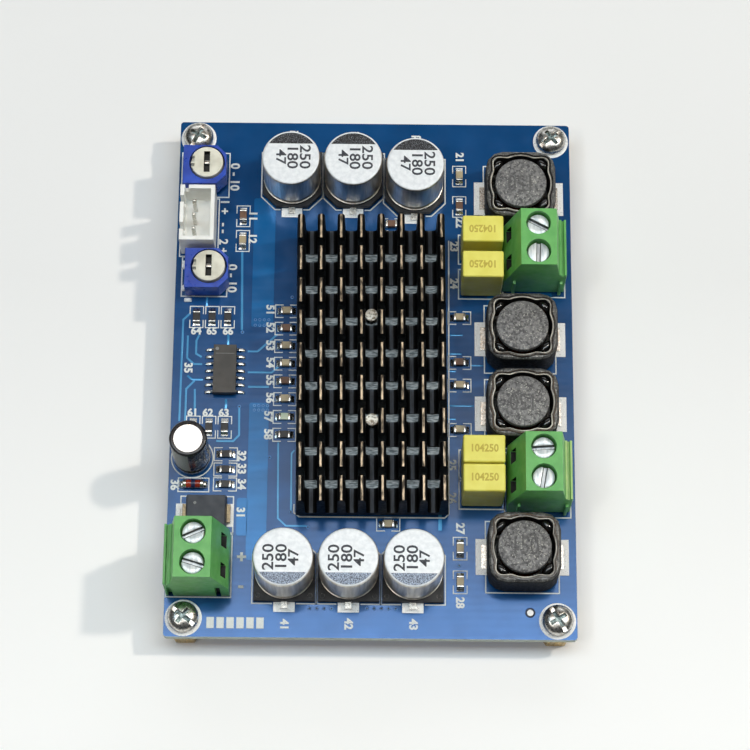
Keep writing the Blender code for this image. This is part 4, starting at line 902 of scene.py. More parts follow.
# Plain figures and signs: text, x and y in millimetres, size, turn in degrees, weight.
FIGURES = (
    ("+", -21.75, -33.0, 2.8, 0, 0.04), ("-", -21.75, -37.8, 2.8, 0, 0.04),
    ("+", 33.4, -17.0, 2.0, 0, 0.03), ("-", 33.4, -22.2, 2.0, 0, 0.03),
    ("0 - 10", -24.7, 36.1, 2.2, -90, 0.03), ("0 - 10", -24.7, 17.0, 2.2, -90, 0.03),
    ("1 +", -26.35, 30.4, 2.1, -90, 0.03), ("- -", -26.35, 26.4, 2.1, -90, 0.03),
    ("2 +", -26.4, 22.9, 2.1, -90, 0.03),
)
# The same for the small numbers beside the parts: place and number, all turned to the right.
SIDE_NUMBERS = (
    (-21.3, 28.7, "11"), (-21.3, 24.5, "12"), (15.0, 40.2, "21"), (15.0, 27.8, "22"), (14.0, 23.3, "23"),
    (14.0, 16.4, "24"), (13.55, -16.5, "25"), (13.55, -22.3, "26"), (14.95, -27.6, "27"), (14.9, -40.4, "28"),
    (-22.15, -25.2, "31"), (-22.2, -15.2, "32"), (-22.15, -17.5, "33"), (-22.1, -20.2, "34"),
    (-31.8, 0.5, "35"),
    (-14.4, -44.4, "41"), (-3.7, -44.2, "42"), (7.1, -44.2, "43"), (-33.45, -20.4, "36"), (-17.9, 11.2, "51"),
    (-17.85, 8.0, "52"), (-17.8, 4.7, "53"), (-17.7, 1.6, "54"), (-17.65, -1.6, "55"), (-17.6, -4.8, "56"),
    (-17.85, -8.1, "57"), (-17.8, -11.3, "58"),
)
LEVEL_NUMBERS = (
    (-30.75, -7.6, "61"), (-28.15, -7.6, "62"), (-25.4, -7.6, "63"), (-30.6, 7.2, "64"), (-27.9, 7.2, "65"),
    (-25.1, 7.2, "66"), (-14.2, 44.3, "71"), (-3.4, 44.2, "72"), (7.4, 43.6, "73"),
)


# Trimmer frames, in millimetres: left, far, right, near.
TRIMMER_FRAMES = ((-34.1, 40.7, -25.5, 32.1), (-33.5, 21.0, -25.4, 13.5))
# How far each part's frame stands off it, in millimetres.
FRAME_MARGINS = {
    "input_socket": 0.45,
    "power_diode": 0.5,
    "left_speaker_terminal": 0.4,
    "right_speaker_terminal": 0.4,
    "power_terminal": 0.25,
    **{f"coil_shield_{number}": 0.22 for number in range(1, 5)},
    **{f"film_capacitor_{number}": 0.45 for number in range(1, 5)},
}
# Printed lines beside the heatsink, as points in millimetres.
SINK_LINES = (
    ((-12.2, -25.8), (12.4, -25.8), (13.1, -25.1), (13.1, 24.4)),
    ((-12.2, -25.8), (-13.1, -25.1), (-13.1, -23.6)),
)
CAN_FRAME, CAN_FRAME_CUT, CAN_FRAME_GAP = 5.42, 2.4, 2.0
NAME_BARS, BAR_PITCH, BAR_WIDTH = 6, 1.66, 1.24
BARS_START, BARS_NEAR, BARS_FAR = -26.7, -45.1, -43.2


def can_frames():
    """Two lines round each can: square corners at one end, cut corners at the other."""
    lines = []
    uncut = CAN_FRAME - CAN_FRAME_CUT
    for number, place in enumerate(CANS):
        end = CAN_FRAME if number < 3 else -CAN_FRAME
        cut_end = -uncut if number < 3 else uncut
        for side in (-1, 1):
            points = [(side * CAN_FRAME_GAP, end), (side * CAN_FRAME, end), (side * CAN_FRAME, cut_end)]
            points += [(side * uncut, -end), (side * CAN_FRAME_GAP, -end)]
            lines.append(outline_print(around(place, points[::-side]), shut=False))
    return lines


def part_frames():
    """Frames round the larger parts, and brackets round the small ones."""
    lines = []
    for places, turn in (
        (LEFT_COLUMN + RIGHT_FLAT + BOARD_ENDS + RESISTOR_STACK, 0.0),
        (ROW_END + INPUT_PAIR + RESISTOR_ROWS, UPRIGHT),
    ):
        lines += [bracket(x, y, turn) for x, y in places]
    for left, far, right, near in TRIMMER_FRAMES:
        place = ((left + right) / 2 * MM, (far + near) / 2 * MM)
        lines.append(framed(*place, (right - left) * MM, (far - near) * MM))
    for node, margin in FRAME_MARGINS.items():
        low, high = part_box(node)
        border = 2 * margin * MM
        lines.append(framed(*middle(node), high.x - low.x + border, high.y - low.y + border))
    lines.append(framed(*GLASS_DIODE, 5.4 * MM, 2.6 * MM, 0.18 * MM))
    profile = in_metres([(3.45, 0.0), (3.45, 0.05), (3.65, 0.05), (3.65, 0.0)])
    lines.append(turned("ring", profile, ring=True, place=(*middle("small_capacitor"), BOARD_TOP)))
    return lines


def make_print():
    prints = can_frames() + part_frames()
    prints += [outline_print(in_metres(points), shut=False) for points in SINK_LINES]
    for text, x, y, size, turn, weight in FIGURES:
        prints.append(numbered(text, x, y, size, math.radians(turn), weight))
    for x, y, text in SIDE_NUMBERS:
        prints.append(numbered(text, x, y, 1.9, -UPRIGHT, 0.04))
    for x, y, text in LEVEL_NUMBERS:
        prints.append(numbered(text, x, y, 1.8, 0.0, 0.04))
    for number in range(NAME_BARS):
        x = BARS_START + BAR_PITCH * number
        low = ((x - BAR_WIDTH / 2) * MM, BARS_NEAR * MM, BOARD_TOP - COPPER_RISE)
        high = ((x + BAR_WIDTH / 2) * MM, BARS_FAR * MM, BOARD_TOP + PRINT_RISE)
        prints.append(softened(block("bar", low, high), 0.03 * MM, 1))
    dressed(joined("board_print", prints), "print")


# Small soldered parts

def end_solder(side, tall):
    """The hollow slope of solder at one end of a small part."""
    start, reach, rise, foot = 1.0 * MM, 1.62 * MM, 0.6 * tall, 0.04 * MM
    profile = [(start, BOARD_TOP), (start, BOARD_TOP + rise)]
    for step in range(1, 5):
        angle = math.pi / 2 * step / 4
        across = reach - (reach - start) * math.cos(angle)
        profile.append((across, BOARD_TOP + foot + (rise - foot) * (1 - math.sin(angle))))
    profile.append((reach, BOARD_TOP))
    slope = side_prism("slope", [(side * x, z) for x, z in profile], -0.62 * MM, 0.62 * MM)
    return softened(slope, 0.05 * MM, 2)


def small_part(tall):
    """The body, metal ends and solder of a small part, at the origin."""
    body = cuboid(0.0, 0.0, 1.36 * MM, 1.2 * MM, BOARD_TOP + 0.06 * MM, BOARD_TOP + tall)
    low, high = BOARD_TOP + 0.03 * MM, BOARD_TOP + tall + 0.02 * MM
    ends = [cuboid(side * 0.82 * MM, 0.0, 0.40 * MM, 1.26 * MM, low, high) for side in (1, -1)]
    ends = joined("ends", [softened(end, 0.10 * MM, 3) for end in ends])
    solder = joined("solder", [end_solder(side, tall) for side in (1, -1)])
    return softened(body, 0.06 * MM), ends, solder


def make_small_parts():
    ceramics = LEFT_COLUMN[:6] + RIGHT_FLAT + BOARD_ENDS + [(x, y, UPRIGHT) for x, y in ROW_END + INPUT_PAIR]
    resistors = LEFT_COLUMN[7:] + RESISTOR_STACK + [(x, y, UPRIGHT) for x, y in RESISTOR_ROWS]
    brown = ceramics[1::3]
    tan = [place for place in ceramics if place not in brown]
    bodies = {
        "ceramic": (("ceramics_tan", tan, "ceramic_tan"), ("ceramics_brown", brown, "ceramic_brown")),
        "resistor": (("resistor_faces", resistors, "resistor"), ("lamp_body", LEFT_COLUMN[6:7], "lamp")),
    }
    for kind, tall in (("ceramic", 0.9 * MM), ("resistor", 0.6 * MM)):
        body, ends, solder = small_part(tall)
        places = []
        for name, group, look in bodies[kind]:
            dressed(spread(name, copy_of(body, "model"), group), look)
            places += group
        bpy.data.objects.remove(body)
        dressed(spread(f"{kind}_ends", ends, places), "solder")
        dressed(spread(f"{kind}_fillets", solder, places), "solder")


def make_glass_diode():
    profile = in_metres([(0.0, -1.35), (0.55, -1.35), (0.70, -1.15), (0.70, 1.15), (0.55, 1.35), (0.0, 1.35)])
    glass = turned("glass_diode", profile, 32)
    caps = []
    for side in (1, -1):
        start, end = sorted((side * 1.15, side * 1.75))
        profile = [(0.0, start), (0.62, start), (0.72, start + 0.08)]
        profile += [(0.72, end - 0.08), (0.62, end), (0.0, end)]
        caps.append(turned("cap", in_metres(profile), 32))
    profile = in_metres([(0.705, -0.35), (0.715, -0.30), (0.715, 0.30), (0.705, 0.35)])
    core = turned("glass_diode_band", profile, 32, ring=True)
    for piece, look in ((glass, "glass"), (joined("glass_caps", caps), "lead"), (core, "glass_core")):
        piece.rotation_euler = (0.0, math.pi / 2, 0.0)
        piece.location = (*GLASS_DIODE, BOARD_TOP + 0.85 * MM)
        dressed(placed(piece), look)
    mounds = [mound(*place, 1.1, 1.5, 0.8) for place in both_sides([GLASS_DIODE], 1.95, 0.0)]
    dressed(joined("glass_solder", mounds), "solder")


def make_joints_below():
    """Cones of solder round the cut leads under the board."""
    places = [middle(f"{name}_screw_{number}") for name in TERMINAL_SLOTS for number in (1, 2)]
    places += both_sides(FILMS, FILM_LEAD_REACH, 0.0)
    for node in ("trimmer_body_1", "trimmer_body_2"):
        places += around(middle(node), TRIMMER_LEADS)
    places += both_sides([middle("small_capacitor")], 0.0, 1.25)
    places += around(middle("input_socket"), [(-0.6, pin * PIN_PITCH) for pin in (-1, 0, 1)])
    profile = [(0.0, 0.05), (0.95, 0.05), (0.92, -0.08), (0.66, -0.26), (0.48, -0.55), (0.40, -0.82)]
    profile += [(0.30, -0.95), (0.0, -0.98)]
    cone = turned("cone", in_metres(profile, BOARD_TOP - BOARD_THICKNESS), 20)
    dressed(spread("joints_below", cone, places), "solder")


# The heatsink and its screws

HEATSINK_TURN = math.radians(0.7)
HEATSINK_PLACE = (-0.2 * MM, -0.4 * MM)
SINK_LOW, SINK_HIGH = (corner.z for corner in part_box("heatsink"))
SINK_LENGTH = 50.8 * MM
FIN_PITCH = 3.42 * MM
FINS = 8
FIN_ROOT = 0.725 * MM
OUTER_FIN_ROOT = 0.925 * MM
BASE_HEIGHT = 1.3 * MM
VALLEY = SINK_LOW + BASE_HEIGHT
VALLEY_FILLET = 0.66 * MM
PIN_ROWS = 9
PIN_LENGTH = 4.311 * MM
SAW_DEPTH = 0.3 * MM
SINK_BORES = (-9.4 * MM, 9.4 * MM)
# A fin's half width at depths below its crest, both in millimetres.
FIN_FLANK = ((0.64, 1.60), (0.58, 0.60), (0.50, 0.32), (0.36, 0.10), (0.26, 0.02), (0.17, 0.0))


def fin_flank(centre, side, outermost):
    """One side of a fin from its root to its crest, with heights counted from the valley."""
    top = SINK_HIGH - VALLEY
    if outermost:
        flank = [(centre + side * OUTER_FIN_ROOT, -BASE_HEIGHT)]
    else:
        flank = []
        for step in range(5):
            angle = math.pi / 2 * step / 4
            across = FIN_ROOT + VALLEY_FILLET - VALLEY_FILLET * math.sin(angle)
            flank.append((centre + side * across, VALLEY_FILLET - VALLEY_FILLET * math.cos(angle)))
    return flank + [(centre + side * half * MM, top - depth * MM) for half, depth in FIN_FLANK]


def sink_profile():
    """The extruded section: flared fins with a crest and a shoulder, and round valleys."""
    points = []
    for fin in range(FINS):
        centre = (fin - (FINS - 1) / 2) * FIN_PITCH
        points += fin_flank(centre, -1, fin == 0)
        points += fin_flank(centre, 1, fin == FINS - 1)[::-1]
    return [(x, VALLEY + z) for x, z in points]


def make_heatsink():
    half = SINK_LENGTH / 2
    sink = side_prism("heatsink_body", sink_profile(), -half, half)
    gap = (SINK_LENGTH - PIN_ROWS * PIN_LENGTH) / (PIN_ROWS - 1)
    saws = []
    for cut in range(PIN_ROWS - 1):
        y = -half + PIN_LENGTH + gap / 2 + cut * (PIN_LENGTH + gap)
        saws.append(cuboid(0.0, y, 40 * MM, gap, VALLEY - SAW_DEPTH, SINK_HIGH + MM))
    carved(sink, joined("saws", saws))
    for y in SINK_BORES:
        carved(sink, rod("bore", (0.0, y), 0.0, SINK_HIGH, 2.3 * MM, 32))
    coat(sink, "anodised")
    # Crests carry a painted highlight and valley floors a painted sheen.
    for look, level in (("crest", SINK_HIGH), ("sawn", VALLEY - SAW_DEPTH), ("valley", VALLEY)):
        face_coat(
            sink,
            look,
            lambda face: abs(face.normal.z) > 0.9 and abs(face.center.z - level) < 0.005 * MM,
        )
    applied(sink, "BEVEL", width=0.04 * MM, segments=1, limit_method="ANGLE", angle_limit=math.radians(60))
    smooth(sink, 40.0)
    dressed(moved(sink, HEATSINK_PLACE, HEATSINK_TURN), None, stands_for="heatsink")


def make_sink_screws():
    for number, place in enumerate(SINK_SCREWS, 1):
        low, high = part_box(f"heatsink_screw_{number}")
        profile = in_metres([(0.0, 0.0), (1.0, 0.0), (1.1, -0.08)], high.z)
        profile += repeated(((0.93, -0.12), (1.1, -0.3)), high.z - 0.15 * MM, low.z + 2.2 * MM, 0.4 * MM)
        profile += in_metres([(1.1, 1.4), (1.95, 1.3), (1.9, 0.5), (1.5, 0.1), (0.0, 0.0)], low.z)
        screw = turned(f"sink_screw_{number}", profile, 32)
        for turn in (0.0, UPRIGHT):
            slotted(screw, 1.1, 0.25, low.z - MM, low.z + 0.75 * MM, turn)
        coat(screw, "steel")
        face_coat(screw, "screw_tip", lambda face: face.center.z > high.z - 0.05 * MM)
        dressed(moved(screw, place), None, stands_for=f"heatsink_screw_{number}")


# Standoffs and the screws at the corners

SLOT_TURNS = (62.0, 38.0, -38.0, -58.0)
# The stepped cross in a corner screw: reach, half width and depth in millimetres, and turn.
CROSS = ((3.0, 0.38, 0.75, 0.0), (1.50, 0.34, 1.35, 0.0), (1.50, 0.34, 1.35, UPRIGHT))
# The domed head: share of its radius, and share of its height.
DOME = ((0.25, 0.985), (0.45, 0.95), (0.65, 0.88), (0.82, 0.76), (0.93, 0.62), (1.0, 0.42))
HEAD_RADIUS = 2.6 * MM
HEAD_HEIGHT = 2.1 * MM
HALF_ACROSS_FLATS = 2.75


def make_standoff(number, place):
    low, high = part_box(f"standoff_{number}")
    radius = HALF_ACROSS_FLATS * MM / math.cos(math.pi / 6)
    corners = [(radius * math.cos(math.pi / 3 * k), radius * math.sin(math.pi / 3 * k)) for k in range(6)]
    standoff = prism(f"hex_standoff_{number}", corners, low.z, high.z)
    chamfers = in_metres([(0.0, 0.0), (HALF_ACROSS_FLATS, 0.0), (3.3, 0.32)], low.z)
    chamfers += in_metres([(3.3, -0.32), (HALF_ACROSS_FLATS, 0.0), (0.0, 0.0)], high.z)
    carved(standoff, turned("chamfers", chamfers), "INTERSECT")
    carved(standoff, rod("bore", (0.0, 0.0), low.z - MM, high.z + MM, FIXING_BORE, 32))
    softened(standoff, 0.05 * MM, 1)
    dressed(moved(standoff, place), "brass", stands_for=f"standoff_{number}")


def make_corner_screw(number, place):
    low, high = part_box(f"corner_screw_{number}")
    seat = high.z - HEAD_HEIGHT
    profile = [(0.0, high.z)] + [(share * HEAD_RADIUS, seat + rise * HEAD_HEIGHT) for share, rise in DOME]
    profile += in_metres([(2.6, 0.15), (2.45, 0.0), (1.45, 0.0)], seat)
    profile += repeated(((1.45, 0.0), (1.24, -0.22)), seat - 0.4 * MM, low.z + 0.5 * MM, 0.45 * MM)
    profile += in_metres([(1.2, 0.2), (0.9, 0.0), (0.0, 0.0)], low.z)
    screw = coat(turned(f"corner_head_{number}", profile), "steel")
    for reach, half, depth, turn in CROSS:
        slotted(screw, reach, half, high.z - depth * MM, high.z + MM, turn)
    softened(screw, 0.05 * MM, 2)

    def in_cross(face):
        depth = high.z - face.center.z
        return face.center.xy.length < 1.49 * MM and 0.80 * MM < depth < 1.36 * MM

    # Painted shade in the cross.
    face_coat(screw, "recess", in_cross)
    moved(screw, place, math.radians(SLOT_TURNS[number - 1]))
    dressed(screw, None, stands_for=f"corner_screw_{number}")


def make_corners():
    for number, place in enumerate(FIXINGS, 1):
        make_standoff(number, place)
        make_corner_screw(number, place)


# Can capacitors

CAN_RADIUS = 5.0 * MM
# Plain figures on a can: text, size, and place from its middle in millimetres.
CAN_FIGURES = (("250", 2.6, 2.35), ("180", 2.6, 0.20), ("47", 2.4, -1.80))


def can_model(low, high):
    profile = in_metres([(0.0, 0.0), (4.4, 0.0), (4.85, 0.1), (5.0, 0.3), (5.0, 0.5)], low)
    profile += groove(CAN_RADIUS, 0.4 * MM, low + 1.05 * MM, 0.55 * MM)
    profile.append((CAN_RADIUS, low + 1.6 * MM))
    profile += shoulder(CAN_RADIUS, 0.42 * MM, high, 6)
    profile += in_metres([(4.3, 0.0), (0.0, 0.0)], high)
    can = coat(turned("can", profile, 72), "can_side")
    return face_coat(can, "can_top", lambda face: face.center.z > high - 0.12 * MM)


def top_segment(name, high, side):
    """The half-moon that marks one lead: a thin print on the top of a can."""
    radius = 4.62 * MM
    limit = math.acos(0.56)
    points = []
    for step in range(-12, 13):
        angle = limit * step / 12
        points.append((radius * math.sin(angle), side * radius * math.cos(angle)))
    return prism(name, points if side < 0 else points[::-1], high - 0.02 * MM, high + 0.015 * MM)


def make_can_base(number, x, y):
    node = f"capacitor_base_{number}"
    base = coat(refined(f"can_base_{number}", node, 0.10 * MM, 2), "base")

    def on_lead(face):
        return abs(face.center.y - y) > 5.17 * MM and abs(face.center.x - x) < 0.7 * MM

    dressed(face_coat(base, "lead", on_lead), None, stands_for=node)


def make_cans():
    low, high = (corner.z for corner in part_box("capacitor_can_1"))
    model = can_model(low, high)
    for number, (x, y) in enumerate(CANS, 1):
        side = 1 if number < 4 else -1
        can = copy_of(model, f"can_{number}", (x, y), 0.4 * number)
        dressed(can, None, stands_for=f"capacitor_can_{number}")
        mark = moved(top_segment(f"can_mark_{number}", high, side), (x, y))
        # The near row's marks carry a painted sheen.
        dressed(mark, "can_mark" if side < 0 else "far_mark")
        figures = []
        for text, size, across in CAN_FIGURES:
            place = (x + side * across * MM, y + side * 0.1 * MM)
            turn = -side * UPRIGHT
            figures.append(lettered("figure", text, size * MM, place, high, turn, weight=0.015, narrow=1.15))
        dressed(joined(f"can_figures_{number}", figures), "ink")
        make_can_base(number, x, y)
    bpy.data.objects.remove(model)
    # Dimples in the near bases, coloured lighter grey than the base as a painted glint.
    profile = [(0.0, -0.01), (0.30, 0.0), (0.38, 0.05), (0.45, 0.0), (0.45, -0.05), (0.0, -0.05)]
    dimple = turned("dimple", in_metres(profile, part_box("capacitor_base_1")[1].z), 20)
    places = [(x + side * 4.35 * MM, y - 4.3 * MM) for x, y in CANS[3:] for side in (1, -1)]
    dressed(spread("base_dimples_painted_glint", dimple, places), "shield")


# Output coils

# Coils that carry a figure, and how it is turned.
DRUM_TURNS = {1: math.pi, 3: math.pi, 4: 0.0}
# Beads round a coil's well: name, radius, reach from the middle, look. The bead with the rim look is a
# painted highlight; the other is glue.
WELL_BEADS = (("inner", 0.11, 5.20, "rim"), ("outer", 0.15, 5.56, "glue"))


def lobed_path(centre, radius, height, lobe=1.2 * MM, steps=72):
    """A circle that swells towards its four diagonals, as the well of a coil does."""
    path = []
    for step in range(steps):
        angle = math.tau * step / steps
        reach = radius + lobe * max(0.0, -math.cos(4 * angle)) ** 2
        path.append((centre[0] + reach * math.cos(angle), centre[1] + reach * math.sin(angle), height))
    return path


def make_shield(number, place, top):
    node = f"coil_shield_{number}"
    shield = coat(refined(f"shield_{number}", node, 0.18 * MM, 3), "shield")
    # Painted shade on the shield's sides.
    face_coat(shield, "shield_side_painted_shade", lambda face: abs(face.normal.z) < 0.6)
    dressed(shield, None, stands_for=node)
    for name, radius, reach, look in WELL_BEADS:
        bead = tube(f"rim_{name}_{number}", lobed_path(place, reach * MM, top), radius * MM)
        dressed(bead, look)


def make_drum(number, place):
    """The drum core with its winding, and a plain figure on its end."""
    node = f"coil_core_{number}"
    bottom, top = (corner.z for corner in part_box(node))
    profile = [(0.0, 0.0), (4.15, 0.0), (4.35, -0.05), (4.45, -0.2), (4.45, -0.95), (4.3, -1.1)]
    wire = ((3.86, 0.0), (4.0, -0.17), (3.86, -0.34))
    profile = in_metres(profile, top) + repeated(wire, top - 1.15 * MM, bottom + 1.4 * MM, 0.35 * MM)
    profile += in_metres([(4.3, 1.1), (4.45, 0.9), (4.45, 0.0), (0.0, 0.0)], bottom)
    drum = coat(turned(f"drum_{number}", profile, 64), "drum")

    def on_winding(face):
        outside = math.hypot(face.center.x, face.center.y) > 3.5 * MM
        return outside and bottom + 1.2 * MM < face.center.z < top - 1.1 * MM

    face_coat(drum, "winding", on_winding)
    dressed(moved(drum, place), None, stands_for=node)
    if number in DRUM_TURNS:
        turn, height = DRUM_TURNS[number], top - 0.01 * MM
        mark = lettered(f"drum_mark_{number}", "150", 4.4 * MM, place, height, turn, weight=0.0, narrow=0.72)
        dressed(mark, "drum_mark")


def make_coil_glue(number, place, top):
    """A drop of glue in each corner of a coil's well."""
    profile = [(0.0, -0.05), (0.35, -0.10), (0.62, -0.35), (0.80, -0.8), (0.85, -2.2), (0.0, -2.4)]
    drops = []
    for corner in range(4):
        turn = math.pi / 4 + corner * math.pi / 2 + 0.05 * (corner % 2)
        drop = turned("drop", in_metres(profile, top), 20)
        drop.scale = (0.95, 1.75, 1.0)
        reach = 5.35 * MM
        at = (place[0] + reach * math.cos(turn), place[1] + reach * math.sin(turn))
        drops.append(moved(placed(drop), at, turn))
    dressed(joined(f"coil_glue_{number}", drops), "glue")


def make_coils():
    for number, place in enumerate(COILS, 1):
        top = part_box(f"coil_shield_{number}")[1].z
        make_shield(number, place, top)
        make_drum(number, place)
        make_coil_glue(number, place, top)
        strips = []
        for x, y in both_sides([place], 6.05, 0.0):
            strip = cuboid(x, y, 1.7 * MM, 4.2 * MM, BOARD_TOP + 0.08 * MM, SEAT - 0.02 * MM)
            strips.append(softened(strip, 0.05 * MM))
        dressed(joined(f"coil_strips_{number}", strips), "lead")


# Film capacitors

def make_films():
    for number, place in enumerate(FILMS, 1):
        node = f"film_capacitor_{number}"
        case = refined(f"film_case_{number}", node, 0.16 * MM, 3)
        dressed(case, "resin", stands_for=node)
        name, turn = f"film_marks_{number}", math.pi if number < 3 else 0.0
        mark = lettered(name, "104250", 1.8 * MM, place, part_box(node)[1].z, turn, 0.02 * MM, 0.03, 0.88)
        dressed(mark, "resin_mark")


# Screw terminals

def terminal_screw(name, low, high):
    profile = [(0.0, 0.0), (1.6, 0.0), (1.78, -0.08), (1.85, -0.25), (1.85, -1.35), (1.75, -1.5), (1.2, -1.5)]
    profile = in_metres(profile, high)
    profile += repeated(((1.2, 0.0), (1.04, -0.2)), high - 1.7 * MM, low + 0.6 * MM, 0.4 * MM)
    profile += in_metres([(1.0, 0.2), (0.8, 0.0), (0.0, 0.0)], low)
    screw = turned(name, profile)
    for half, depth in ((0.38, 0.12), (0.26, 0.8)):
        slotted(screw, 3.0, half, high - depth * MM, high + MM)
    coat(softened(screw, 0.02 * MM, 1), "screw")

    def in_slot(face):
        x, y, z = face.center
        return abs(y) < 0.40 * MM and high - 0.79 * MM < z < high - 0.02 * MM and math.hypot(x, y) < 1.84 * MM

    return face_coat(screw, "slot_shade", in_slot)


def make_housing(name):
    """A terminal's housing, with painted shade inside its wells, windows and wire entries, and a painted
    highlight on one terminal's ledge.
    """
    housing = coat(refined(f"{name}_housing", name, 0.10 * MM, 2), "green")
    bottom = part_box(name)[0].z
    floor, roof, ledge_height = bottom + 1.1 * MM, bottom + 9.95 * MM, bottom + 7.5 * MM
    well_half, well_reach, entry_reach, ledge_reach = 2.08 * MM, 3.1 * MM, 5.2 * MM, 3.8 * MM
    centre_x = middle(f"{name}_screw_1")[0]
    ways = [middle(f"{name}_screw_{number}")[1] for number in (1, 2)]
    entry_side = 1 if name == "power_terminal" else -1

    def inside(face):
        if not floor < face.center.z < roof or min(abs(face.center.y - way) for way in ways) > well_half:
            return False
        towards_entry = (face.center.x - centre_x) * entry_side
        square = max(abs(part) for part in face.normal) > 0.99
        return abs(towards_entry) < well_reach or (square and 0.0 < towards_entry < entry_reach)

    def ledge(face):
        outwards = (centre_x - face.center.x) * entry_side
        return outwards > ledge_reach and face.normal.z > 0.5 and face.center.z > ledge_height

    # Painted shade inside the wells, windows and wire entries.
    face_coat(housing, "green_painted_shade", inside)
    # Painted highlight on the lit ledge of the right speaker terminal.
    if name == "right_speaker_terminal":
        face_coat(housing, "green_painted_highlight", ledge)
    dressed(housing, None, stands_for=name)


def make_terminals():
    for name, slot_turns in TERMINAL_SLOTS.items():
        make_housing(name)
        for number, slot_turn in enumerate(slot_turns, 1):
            node = f"{name}_screw_{number}"
            low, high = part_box(node)
            screw = terminal_screw(f"{node}_shown", low.z, high.z)
            moved(screw, middle(node), math.radians(slot_turn))
            dressed(screw, None, node, node)
            node = f"{name}_clamp_{number}"
            dressed(refined(f"{node}_shown", node, 0.06 * MM), "clamp", node, node)


# Volume trimmers, input socket, small capacitor

# A dial's driver slot and its toothed notch, as cuts: left, near, right, far.
DIAL_CUTS = ((-0.52, -1.95, 0.52, 1.95), (-3.2, -0.95, -2.15, -0.30), (-3.2, -0.05, -2.15, 1.1))


def dial_model(name, low, high):
    """A dial with a driver slot and a toothed notch at its edge; painted shade fills the slot."""
    profile = in_metres([(0.0, 0.0), (2.60, 0.0), (2.78, -0.07), (2.85, -0.25)], high)
    dial = turned(name, profile + in_metres([(2.85, 0.0), (0.0, 0.0)], low), 56)
    floor = high - 1.2 * MM
    for left, near, right, far in DIAL_CUTS:
        carved(dial, block("cut", (left * MM, near * MM, floor), (right * MM, far * MM, high + MM)))
    coat(softened(dial, 0.05 * MM, 2), "dial")

    # Painted shade on the slot's faces.
    def in_slot(face):
        x, y, z = face.center
        return abs(x) < 0.54 * MM and abs(y) < 1.97 * MM and floor - 0.02 * MM < z < high - 0.04 * MM

    return face_coat(dial, "dial_slot_painted_shade", in_slot)


def make_trimmers():
    for number in (1, 2):
        node = f"trimmer_body_{number}"
        case = refined(f"trimmer_case_{number}", node, 0.14 * MM, 3)
        dressed(case, "trimmer", stands_for=node)
        node = f"trimmer_dial_{number}"
        low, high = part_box(node)
        dial = moved(dial_model(f"dial_{number}", low.z, high.z), middle(node))
        dressed(dial, None, node, node)
        spring = cuboid(0.0, 0.1 * MM, MM, 0.7 * MM, high.z - 0.75 * MM, high.z - 0.4 * MM)
        spring.name = f"dial_spring_{number}"
        dressed(moved(softened(spring, 0.12 * MM, 3), middle(node)), "steel", node)


def socket_pin(x, y, foot):
    """A square pin with a tapered tip."""
    pin = cuboid(x, y, 0.64 * MM, 0.64 * MM, foot + 1.4 * MM, foot + 6.2 * MM)
    picked(pin, lambda face: face.normal.z > 0.5)
    bpy.ops.transform.translate(value=(0.0, 0.0, -0.3 * MM))
    bpy.ops.mesh.extrude_region_move(TRANSFORM_OT_translate={"value": (0.0, 0.0, 0.3 * MM)})
    bpy.ops.transform.resize(value=(0.55, 0.55, 1.0), center_override=(x, y, foot))
    return softened(closed(pin), 0.05 * MM, 2)


def make_socket():
    low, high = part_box("input_socket")
    x, y = middle("input_socket")
    wall, above = 0.7 * MM, high.z + MM
    shell = block("socket_shell", low, high)
    inner = (low.x + wall, low.y + wall, low.z + 1.5 * MM)
    carved(shell, block("inside", inner, (high.x - wall, high.y - wall, above)))
    for side in (1, -1):
        slot = y + side * 2.5 * MM
        corner = (low.x - MM, slot - 0.6 * MM, low.z + 3.0 * MM)
        carved(shell, block("slot", corner, (low.x + wall + 0.05 * MM, slot + 0.6 * MM, above)))
    corner = (low.x + 0.80 * MM, high.y - 0.95 * MM, high.z - 1.6 * MM)
    carved(shell, block("notch", corner, (low.x + 1.45 * MM, high.y + MM, above)))
    dressed(softened(shell, 0.12 * MM, 3), "socket", stands_for="input_socket")
    places = around((x, y), [(-0.6, pin * PIN_PITCH) for pin in (-1, 0, 1)])
    pins = joined("socket_pins", [socket_pin(*place, low.z) for place in places])
    dressed(pins, "lead")


def make_small_capacitor():
    low, high = (corner.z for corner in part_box("small_capacitor"))
    radius = 3.15 * MM
    profile = in_metres([(0.0, 0.0), (2.9, 0.0), (3.1, 0.12), (3.15, 0.3), (3.15, 1.1)], low)
    profile += groove(radius, 0.3 * MM, low + 1.6 * MM, 0.5 * MM)
    profile.append((radius, low + 2.1 * MM))
    profile += shoulder(radius, 0.4 * MM, high, 5)
    profile += in_metres([(2.55, 0.0), (2.48, -0.08), (2.4, -0.18), (0.0, -0.18)], high)
    sleeve = coat(turned("sleeve", profile, 64), "sleeve")

    def on_disc(face):
        return face.normal.z > 0.9 and math.hypot(face.center.x, face.center.y) < 2.5 * MM

    def on_stripe(face):
        near_stripe = abs(math.atan2(face.center.y, face.center.x) + 2.0) < 0.42
        return near_stripe and low + 2.2 * MM < face.center.z < high - 0.35 * MM

    face_coat(sleeve, "bright_disc", on_disc)
    face_coat(sleeve, "sleeve_print", on_stripe)
    dressed(moved(sleeve, middle("small_capacitor")), None, stands_for="small_capacitor")


# Chips and the power diode

def ink_heights(node):
    """The bottom and top of thin ink on a node's top face."""
    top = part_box(node)[1].z
    return top - 0.02 * MM, top + 0.01 * MM


